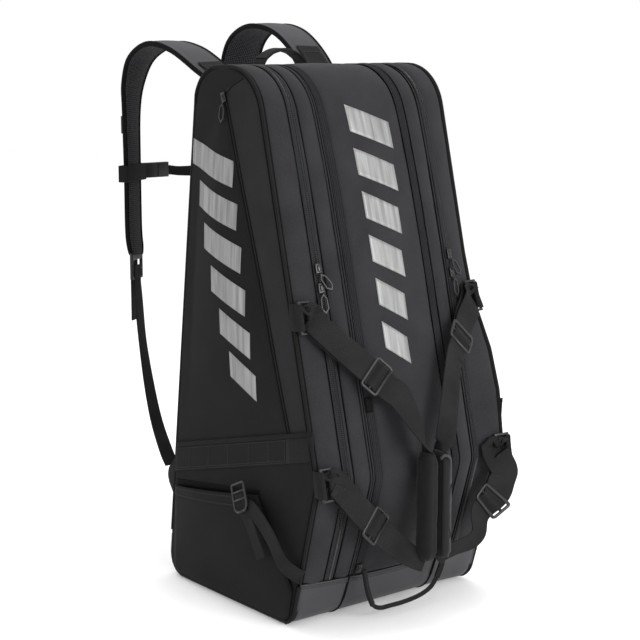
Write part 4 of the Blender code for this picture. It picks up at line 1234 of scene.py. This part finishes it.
LOWER_ROUTES = {
    -1: ((-0.1150, -0.020, 0.184), (-0.0830, -0.024, 0.152), (-0.0570, -0.240, 0.126),
         (-0.0380, -0.250, 0.107), (-0.0235, -0.256, 0.0955), (-0.0130, -0.2590, 0.0880)),
    1: ((0.1540, -0.026, 0.190), (0.1500, -0.030, 0.174), (0.1390, -0.238, 0.154), (0.1130, -0.240, 0.134),
        (0.1010, -0.250, 0.112), (0.0820, -0.256, 0.102), (0.0500, -0.256, 0.098), (0.0240, -0.259, 0.0950),
        (0.0130, -0.2590, 0.0880)),
}
for side, sign in SIDES:
    handle = side + "_handle"
    start, glide, run, out, across = glide_frames(sign, 0.066 if sign < 0 else 0.098)
    top, axis, right = ring_frame(sign)
    bar = top + right * 0.016
    turn_out = axis.cross(right) if axis.cross(right).y < 0 else right.cross(axis)
    inner = Vector((0, -1, 0))
    if across.dot(axis) < 0:
        across = -across
    route = [glide - run * 0.016 - out * 0.0045, start + run * 0.014 - out * 0.0040]
    route += round_bar(bar, right, turn_out)
    count = len(route) - 2
    spans = [across, across] + [axis] * count
    route += [start + run * 0.006 + out * 0.001, start.lerp(glide, 0.5), glide, glide + run * 0.026]
    spans += [across.lerp(axis, 0.4), across, across, across]
    twist = inner if across.dot(inner) > 0 else -inner
    route += [glide + run * 0.048, Vector((sign * 0.0220, GRIP_DEPTH - 0.001, GRIP_HIGH + 0.024)),
              Vector((sign * 0.0110, GRIP_DEPTH, GRIP_HIGH + 0.004)),
              Vector((sign * 0.0100, GRIP_DEPTH, GRIP_HIGH - 0.012))]
    spans += [across * 0.96, across.lerp(twist, 0.45).normalized() * 0.74, twist * 0.6, twist * 0.55]
    hump = [glide - run * 0.0085 - out * 0.0020, glide - run * 0.0050 + out * 0.0015, glide + out * 0.0042,
            glide + run * 0.0050 + out * 0.0015, glide + run * 0.0085 - out * 0.0020]
    piece = strap(side + "_belt_over_bar", hump, [across] * 5, 0.036, BELT_THICKNESS, [WEBBING])
    place_on(piece, side + "_upper_glide", "webbing")
    piece = bar_frame(side + "_strap_slider", glide + out * 0.0016, run, across, SLIDER_SIZE, (0,),
                      SLIDER_BAR)
    place_on(piece, side + "_upper_glide", "moulded_plastic", side + "_upper_glide")
    piece = strap(side + "_upper_belt", route, spans, BELT_WIDTH, BELT_THICKNESS, [WEBBING])
    place_on(piece, handle, "webbing", side + "_upper_strap")

    low, axis, right = ring_frame(sign, False)
    bar = low + right * 0.016
    points = []
    for x, y, z in LOWER_ROUTES[sign]:
        points.append(Vector((x, y if y < -0.1 else face_y(x, z) + y, z)))
    under = points[1 if sign < 0 else 2] + Vector((0, 0.0045, 0))
    route = [under, points[0] + Vector((0, 0.0042, 0))] + round_bar(bar, right, turn_out)
    spans = [None, None] + [axis] * (len(route) - 2)
    route += [bar + right * 0.006 + turn_out * 0.0045] + points
    facing = Vector((0, -1, 0.2))
    wides = []
    for i in range(len(points)):
        along = points[min(i + 1, len(points) - 1)] - points[max(i - 1, 0)]
        wide = along.cross(facing).normalized()
        wides.append(wide if wide.dot(axis) > 0 or i else -wide)
        if i and wides[i].dot(wides[i - 1]) < 0:
            wides[i] = -wides[i]
    if wides[0].dot(axis) < 0:
        wides = [-w for w in wides]
    narrowing = ((-3, 0.9), (-2, 0.75), (-1, 0.6))
    if sign > 0:
        narrowing = ((-5, 0.8), (-4, 0.6), (-3, 0.52), (-2, 0.5), (-1, 0.5))
    for i, share in narrowing:
        wides[i] = wides[i] * share
    spans[0], spans[1] = wides[1].normalized(), wides[0].normalized()
    spans += [axis.lerp(wides[0], 0.5).normalized()] + wides
    piece = strap(side + "_lower_belt", route, spans, BELT_WIDTH, BELT_THICKNESS, [WEBBING])
    place_on(piece, handle, "webbing", side + "_lower_strap")

    at = points[1] if sign < 0 else points[2].lerp(points[3], 0.30)
    ahead = (points[2] - points[0]).normalized() if sign < 0 else (points[3] - points[2]).normalized()
    wide = (wides[1] if sign < 0 else wides[2]).normalized()
    wide = (wide - ahead * wide.dot(ahead)).normalized()
    outward = ahead.cross(wide)
    if outward.y > 0:
        wide, outward = -wide, -outward
    piece = bar_frame(side + "_lower_slider", at + outward * 0.0016, ahead, wide, SLIDER_SIZE, (0,),
                      SLIDER_BAR)
    place_on(piece, handle, "moulded_plastic")
    hump = [at + ahead * d + outward * h for d, h in ((-0.0085, -0.002), (-0.005, 0.0015), (0, 0.0042),
                                                      (0.005, 0.0015), (0.0085, -0.002))]
    piece = strap(side + "_lower_belt_over_bar", hump, [wide] * 5, 0.036, BELT_THICKNESS, [WEBBING])
    place_on(piece, handle, "webbing")
print("belts run from the rings to the grip")

# %% [markdown]
# The rings hang in short tabs of the same webbing, folded round the outer bar and caught in the
# piping seam. They swing with the side cover, and the ring turns inside them.

# %% Ring tabs
for side, sign in SIDES:
    for label, high in (("upper", True), ("lower", False)):
        at, axis, right = ring_frame(sign, high)
        out = axis.cross(right) if axis.cross(right).y < 0 else right.cross(axis)
        seam_y = edge_depth(at.z)[0]
        seam = Vector((sign * 0.1662, seam_y + 0.004, at.z))
        over = [at - right * 0.0010 + out * 0.0038, at + right * 0.0030 + out * 0.0022, at + right * 0.0040,
                at + right * 0.0028 - out * 0.0026]
        route = [seam, seam.lerp(over[0], 0.5) - right * 0.003 + out * 0.001] + over
        route += [Vector((sign * 0.1560, face_y(sign * 0.156, at.z) - 0.0012, at.z))]
        piece = strap(f"{side}_{label}_ring_tab", route, [axis] * len(route), 0.037, 0.0018, [WEBBING])
        place_on(piece, side + "_cover", "webbing")

# %% [markdown]
# The grip wraps both handles: two padded lobes of brushed cloth side by side, each on its own
# belt. A lobe is a stack of rounded sections, pinched at its ends and slightly uneven, and the
# flap that closes the wrap shows as one piped edge that turns over the top.

# %% Padded grip
for side, sign in SIDES:
    handle = side + "_handle"
    rows, flat = [], []
    low, high = GRIP_LOW + 0.010, GRIP_HIGH + 0.002
    for i in range(41):
        t = i / 40
        z = low + (high - low) * t
        end = min(t, 1 - t)
        full = min(1.0, 0.62 + 0.38 * math.sin(min(end / 0.10, 1) * math.pi / 2))
        middle = Vector((sign * 0.0116, GRIP_DEPTH, z))
        row = []
        for k in range(32):
            a = 2 * math.pi * k / 32
            c, s = math.cos(a), math.sin(a)
            x = 0.0110 * math.copysign(abs(c) ** 0.8, c) * full
            y = 0.0165 * math.copysign(abs(s) ** 0.85, s) * full
            crease = 1 - 0.10 * math.exp(-((x * sign - 0.001) / 0.0022) ** 2) * (y < 0)
            point = middle + Vector((x, y * crease, 0))
            bump = 0.0007 * noise.noise(point * 55) + 0.0005 * noise.noise(point * 120)
            row.append(point + Vector((c, s, 0)) * bump)
        rows.append(row)
        flat.append([(k / 32 * 0.09, z) for k in range(33)])
    piece = lay(side + "_grip_pad", rows, flat, [GRIP_CLOTH], closed=True)
    place_on(piece, handle, "pad_fabric", side + "_grip")
rib = [(0.0012, -0.2760, 0.2400), (0.0025, -0.2795, 0.2445), (0.0080, -0.2815, 0.2440),
       (0.0135, -0.2805, 0.2400),
       (0.0165, -0.2788, 0.2330), (0.0172, -0.2780, 0.2200), (0.0172, -0.2780, 0.1650),
       (0.0172, -0.2780, 0.1100),
       (0.0168, -0.2775, 0.1060), (0.0150, -0.2760, 0.0980)]
# The piping takes the lighter padding cloth: a painted highlight along the rib.
piece = tube("grip_piping", curve_through(rib, 6), 0.0019, PADDING, 10)
place_on(piece, "right_handle", "webbing")
rows = [[(sign_x, -0.2785 - 0.0012 * math.sin(math.pi * t), z) for t, sign_x in
         ((0, 0.0032), (0.33, 0.0075), (0.66, 0.0120), (1, 0.0168))] for z in np.linspace(0.100, 0.242, 24)]
flat = [[(p[0], p[2]) for p in row] for row in rows]
piece = thicken(lay("grip_flap", rows, flat, [GRIP_CLOTH], facing=(0, -1, 0)), 0.0014)
place_on(piece, "right_handle", "pad_fabric")

# %% [markdown]
# A shoulder strap is a foam pad between a smooth knitted face and spacer mesh, with its edges
# bound in tape. One section along one route makes it: beads at both edges, a fuller middle, and a
# material picked by the place in the section. It is sewn to the back and arches over to hang.

# %% Shoulder straps
PAD_TURN = math.radians(32)
PAD_SECTION = ((-1, 0), (-0.99, 0.7), (-0.95, 0.95), (-0.90, 0.75), (-0.86, 0.55), (-0.6, 0.95), (-0.3, 1.05),
               (0, 1.1), (0.3, 1.05), (0.6, 0.95), (0.86, 0.55), (0.90, 0.75), (0.95, 0.95), (0.99, 0.7),
               (1, 0), (0.99, -0.7), (0.95, -0.95), (0.90, -0.75), (0.86, -0.55), (0.6, -0.95), (0.3, -1.05),
               (0, -1.1), (-0.3, -1.05), (-0.6, -0.95), (-0.86, -0.55), (-0.90, -0.75), (-0.95, -0.95),
               (-0.99, -0.7))
ARCHES = {
    -1: ((0.094, 0.741), (0.132, 0.764), (0.190, 0.791), (0.250, 0.799), (0.303, 0.778), (0.328, 0.738)),
    1: ((0.094, 0.744), (0.134, 0.786), (0.190, 0.818), (0.256, 0.826), (0.308, 0.802), (0.331, 0.752)),
}
ARCH_WIDTHS = (0.0880, 0.0920, 0.0960, 0.0990, 0.1015, 0.1030)
ARCH_TURNS = (0.0, 0.0, 0.05, 0.25, 0.6, 0.9)
PAD = Vector((0.104, 0.334))


def pad_part(i, j):
    if 4 <= j < 10:
        return 1
    return 0 if 18 <= j < 24 else 2


def pad_route(sign):
    back = edge_depth(0.655)[1]
    wide = Vector((math.cos(PAD_TURN), -sign * math.sin(PAD_TURN), 0))
    level = Vector((1, 0, 0))
    route = [(sign * 0.0850, back + 0.0055, 0.655), (sign * 0.0855, back + 0.0010, 0.700)]
    spans = [level, level]
    for x, (y, z), turn in zip(ARCH_WIDTHS, ARCHES[sign], ARCH_TURNS):
        route.append((sign * x, y, z))
        spans.append(level.lerp(wide, turn).normalized())
    for z, back, share in ((0.690, 0, 0.82), (0.600, 0, 0.74), (0.510, 0, 0.74), (0.480, 0.004, 0.7),
                           (0.468, 0.006, 0.55)):
        route.append((sign * PAD.x, PAD.y - back, z))
        spans.append(wide * share)
    return [Vector(p) for p in route], spans


def offset_route(points, spans, lift):
    """The same route lifted along the strap's thickness."""
    result = []
    for i, point in enumerate(points):
        along = points[min(i + 1, len(points) - 1)] - points[max(i - 1, 0)]
        result.append(point + along.cross(spans[i]).normalized() * lift)
    return result


for side, sign in SIDES:
    route, spans = pad_route(sign)
    piece = strap(side + "_padded_strap", route, spans, 0.064, 0.0088, [PADDING, MESH_CLOTH, TAPE_AND_SEAM_SHADE],
                  PAD_SECTION, 8, pad_part)
    place_on(piece, "bag", "pad_fabric", side + "_shoulder_strap")
    line, turns = curve_through(route, 8), curve_through(spans, 8)
    patch = [k for k, p in enumerate(line) if 0.080 < p.y < 0.150 and p.z > 0.70][::2]
    points, wides = [line[k] for k in patch], [turns[k] for k in patch]
    lifted = offset_route(points, wides, -0.0062)
    piece = strap(side + "_sewn_patch", lifted, [w * 0.9 for w in wides], 0.046, 0.0016, [WEBBING])
    place_on(piece, "bag", "webbing")
    out_of = offset_route(points, wides, -0.0072)
    frame_lines = []
    for shift in (-0.017, 0.017):
        frame_lines.append([tuple(p + w * shift) for p, w in zip(out_of[1:-1], wides[1:-1])])
    for ends in ((1, -2), (-2, 1)):
        a, b = out_of[ends[0]], out_of[ends[1]]
        frame_lines.append([tuple(a - wides[1] * 0.017), tuple(a + wides[1] * 0.017)])
        frame_lines.append([tuple(a - wides[1] * 0.017), tuple(b + wides[1] * 0.017)])
    stitches(side + "_patch_thread", frame_lines, (0, -0.3, 1), "bag", "webbing", 0.005, 0.0007)
print("shoulder straps padded and bound")

# %% [markdown]
# Below the pad a ladder lock holds a 24 mm webbing that runs down to the lower corner of the back,
# where a sewn triangle of shell cloth spreads its pull. The free end hangs straight down.

# %% Strap webbing and lower corners
for side, sign in SIDES:
    wide = Vector((math.cos(PAD_TURN), -sign * math.sin(PAD_TURN), 0))
    level = Vector((1, 0, 0))
    low = Vector((sign * PAD.x, PAD.y, 0))
    route = [low + Vector((0, y, z)) for y, z in ((-0.010, 0.452), (-0.0095, 0.436), (-0.008, 0.4225))]
    route += [Vector((sign * x, y, z)) for x, y, z in (
        (0.1130, 0.308, 0.392), (0.1280, 0.276, 0.340), (0.1400, 0.240, 0.276), (0.1480, 0.208, 0.225),
        (0.1520, 0.176, 0.184), (0.1525, 0.160, 0.166))]
    spans = [wide] * 5 + [level.lerp(wide, 0.6), level.lerp(wide, 0.3), level, level]
    piece = strap(side + "_lower_belt_back", route, spans, 0.024, 0.0018, [WEBBING])
    place_on(piece, "bag", "webbing", side + "_lower_webbing")
    route = [low + Vector((0, 0.0010, z)) for z in (0.466, 0.450, 0.420, 0.390, 0.362)]
    spans = [wide] * 5
    piece = strap(side + "_webbing_tail", route, spans, 0.024, 0.0018, [WEBBING])
    place_on(piece, "bag", "webbing")
    rows, flat = [], []
    for i in range(11):
        v = i / 10
        z_low, z_high = 0.108, 0.192
        row = []
        for j in range(7):
            u = j / 6
            z = z_low + (z_high - z_low) * (0.5 + (v - 0.5) * (1 - 0.72 * u))
            y = 0.1300 + 0.034 * u + 0.003 * math.sin(math.pi * v)
            row.append((sign * (0.1615 - 0.006 * u), y, z))
        rows.append(row)
        flat.append([(p[1], p[2]) for p in row])
    piece = thicken(lay(side + "_corner_tab", rows, flat, [SIDE_PAINTED_SHADE, SIDE_PAINTED_SHADE], facing=(sign, 0, 0)), 0.0030)
    place_on(piece, "bag", "shell_fabric")

# %% [markdown]
# The chest strap is narrow webbing that leaves the right loop, sags a little and ends in the
# buckle's plug; its spare end lies on it, folded and sewn.

# %% Chest strap
CHEST = Vector((0, 0.3605, 0.598))
up = Vector((0, 0, 1))
route = [CHEST + Vector(p) for p in ((-0.033, 0, 0), (0.0, 0.0002, -0.0035), (0.035, 0.0004, -0.0035),
                                     (0.068, 0.0002, -0.0005), (0.085, 0.0008, 0.0), (0.110, 0.0008, 0.0))]
piece = strap("chest_webbing", route, [up] * 6, 0.0145, 0.0015, [WEBBING])
place_on(piece, "buckle_male", "webbing", "sternum_webbing")
route = [CHEST + Vector(p) for p in ((-0.021, 0.0019, -0.0008), (0.002, 0.0021, -0.0042),
                                     (0.026, 0.0023, -0.0060), (0.038, 0.0024, -0.0075))]
piece = strap("chest_webbing_end", route, [up] * 4, 0.0150, 0.0015, [WEBBING])
place_on(piece, "buckle_male", "webbing")

# %% [markdown]
# The grab handle on top is a loop of webbing, doubled and stitched along its edges in the middle
# so that it is stiff where the hand takes it.

# %% Grab handle
depth = Vector((0, 1, 0))
HANDLE_DEPTH = 0.0835
arch = [(-0.0450, 0.738), (-0.0425, 0.762), (-0.0290, 0.782), (0.0, 0.790), (0.0290, 0.782), (0.0425, 0.762),
        (0.0450, 0.738)]
route = [Vector((x, HANDLE_DEPTH, z)) for x, z in arch]
piece = strap("top_handle", route, [depth] * 7, 0.029, 0.0028, [WEBBING])
place_on(piece, "grab_handle", "webbing", "grab_handle")
wrap = [(-0.035, 0.7770), (-0.019, 0.7872), (0, 0.7912), (0.019, 0.7872), (0.035, 0.7770)]
route = [Vector((x, HANDLE_DEPTH, z)) for x, z in wrap]
piece = strap("top_handle_wrap", route, [depth] * 5, 0.025, 0.0046, [WEBBING])
place_on(piece, "grab_handle", "webbing")

# %% [markdown]
# The pocket's tightening strap goes from its ladder lock over the slanting edge and forwards to
# the piping; its loose tail hangs beside it and ends in a folded, sewn tip.

# %% Pocket strap
LOCK = Vector((HALF_WIDTH + 0.022, -0.066, 0.172))
for side, sign in SIDES:
    cover = side + "_cover"
    lock = Vector((sign * LOCK.x, LOCK.y, LOCK.z))
    out = Vector((sign, 0, 0))
    run = Vector((0, -0.42, -0.91)).normalized()
    wide = out.cross(run)
    leaning = (run + out * 0.12).normalized()
    bar_way = (wide - leaning * wide.dot(leaning)).normalized()
    piece = bar_frame(side + "_pocket_lock", lock + out * 0.0015, leaning, bar_way, (0.040, 0.031),
                      (-0.42, 0.14), 0.0018, 0.006)
    place_on(piece, cover, "moulded_plastic", side + "_side_ladder_lock")
    foot = [(0.0175, -0.159, 0.098, 0.0), (0.0060, -0.1725, 0.0835, -0.1), (-0.0010, -0.1770, 0.0795, -0.1)]
    through = ((-0.010, -0.0030), (-0.002, 0.0002), (0.006, -0.0030), (0.014, -0.0026))
    route = [lock + run * a + out * b for a, b in through]
    route += [lock + Vector((0, -0.036, -0.014)) + out * 0.0010,
              lock + Vector((0, -0.068, -0.040)) - out * 0.0005]
    spans = [wide] * 4 + [(wide + Vector((0, -0.2, 0.15))).normalized()] * 2
    for stand, y, z, lean in foot:
        route.append(Vector((sign * (HALF_WIDTH + stand), y, z)))
        spans.append(Vector((lean * sign, -0.60, 0.80)).normalized() * math.copysign(1, -wide.y))
    piece = strap(side + "_pocket_strap", route, spans, 0.025, 0.0018, [WEBBING])
    place_on(piece, cover, "webbing", side + "_side_strap")
    tail = [lock + run * a + out * b for a, b in ((-0.004, 0.0012), (0.010, -0.0006), (0.018, 0.0010))]
    for stand, y, z in ((0.0225, -0.088, 0.140), (0.0215, -0.101, 0.116), (0.0200, -0.113, 0.096)):
        tail.append(Vector((sign * (HALF_WIDTH + stand), y, z)))
    spans = [wide] * 3 + [(wide + Vector((0, 0, 0.15))).normalized()] * 3
    piece = strap(side + "_pocket_strap_tail", tail, spans, 0.0205, 0.0017, [WEBBING])
    place_on(piece, cover, "webbing")
    end = tail[-1] + out * 0.0012
    piece = strap(side + "_tail_fold", [end - Vector((0, -0.008, -0.014)), end + Vector((0, -0.001, -0.002))],
                  [wide] * 2, 0.0215, 0.0016, [WEBBING])
    place_on(piece, cover, "webbing")

# %% [markdown]
# The printed mark is a plain pattern of the maker's own: slanting bars that get narrower, one set
# on each side and one down the middle. Each bar is a thin patch that takes the panel's own shape,
# so it follows every swell.

# %% Silver bars
BARS = 6


def bar_corners(k, low, high, near, far, slant):
    """Bar k of the set: a parallelogram between two heights that narrows with k."""
    pitch = (high - low) / BARS
    top = high - pitch * k
    foot = top - pitch * 0.62
    width = (far - near) * (1 - 0.09 * k)
    return ((near, foot - slant), (near + width, foot), (near + width, top), (near, top - slant))


for side, sign in SIDES:
    for k in range(BARS):
        corners = [Vector(p) for p in bar_corners(k, 0.315, 0.668, -0.030, 0.072, 0.028)]
        shift = Vector((-0.052 * k / (BARS - 1), 0))
        corners = [c + shift for c in corners]
        piece = side_patch(f"{side}_silver_bar_{k + 1}", sign, corners, 0.0007, [FOIL], 12, 8, 0.0003)
        place_on(piece, side + "_cover", "shell_fabric")
for k in range(BARS):
    corners = [Vector(p) for p in bar_corners(k, 0.338, 0.690, -0.032, 0.042, -0.026)]
    rows, flat = [], []
    for i in range(9):
        row = []
        for j in range(13):
            x, z = corners[0].lerp(corners[1], j / 12).lerp(corners[3].lerp(corners[2], j / 12), i / 8)
            base = face_point(x, z)
            lift = 0.0007 + 0.002 * math.sin(math.pi * (0.5 + x / 0.131)) + ripple(base)
            row.append(face_point(x, z, lift))
        rows.append(row)
        flat.append([(p.x, p.z) for p in row])
    piece = thicken(lay(f"front_silver_bar_{k + 1}", rows, flat, [FOIL], facing=(0, -1, 0)), 0.0003, False)
    place_on(piece, "bag", "shell_fabric")

# %% [markdown]
# A soft bag never stands quite even: the right compartment is fuller low down and leans outwards
# there. One smooth push, strongest at its front edge below the upper ring, moves every piece
# that lies in that part, so that seams, piping and rings stay together.

# %% The fuller right compartment
FULL_LEVELS = ((0.0, 0.30), (0.08, 0.42), (0.235, 0.75), (0.300, 1.0), (0.360, 0.85), (0.440, 0.12),
               (0.500, 0.0))
FULL_OUT, FULL_FORWARD = 0.0170, 0.0120


def step_up(value, low, high):
    t = np.clip((value - low) / (high - low), 0, 1)
    return t * t * (3 - 2 * t)


moved = 0
for piece in list(bpy.data.objects):
    if piece.type != "MESH" or piece.name in frame["nodes"] or piece.name == "floor":
        continue
    if "sternum" in piece.name or "belt_back" in piece.name or "tail" in piece.name:
        continue
    points = np.empty(len(piece.data.vertices) * 3)
    piece.data.vertices.foreach_get("co", points)
    points = points.reshape(-1, 3)
    share = np.interp(points[:, 2], [z for z, _ in FULL_LEVELS], [s for _, s in FULL_LEVELS])
    share *= step_up(points[:, 0], 0.127, 0.163) * step_up(-points[:, 1], 0.02, 0.14)
    if share.max() < 0.01:
        continue
    points[:, 0] += FULL_OUT * share
    points[:, 1] -= FULL_FORWARD * share
    piece.data.vertices.foreach_set("co", points.ravel())
    piece.data.update()
    moved += 1
print(moved, "pieces of the right compartment pushed out")

# %% Last update of the scene
bpy.context.view_layer.update()
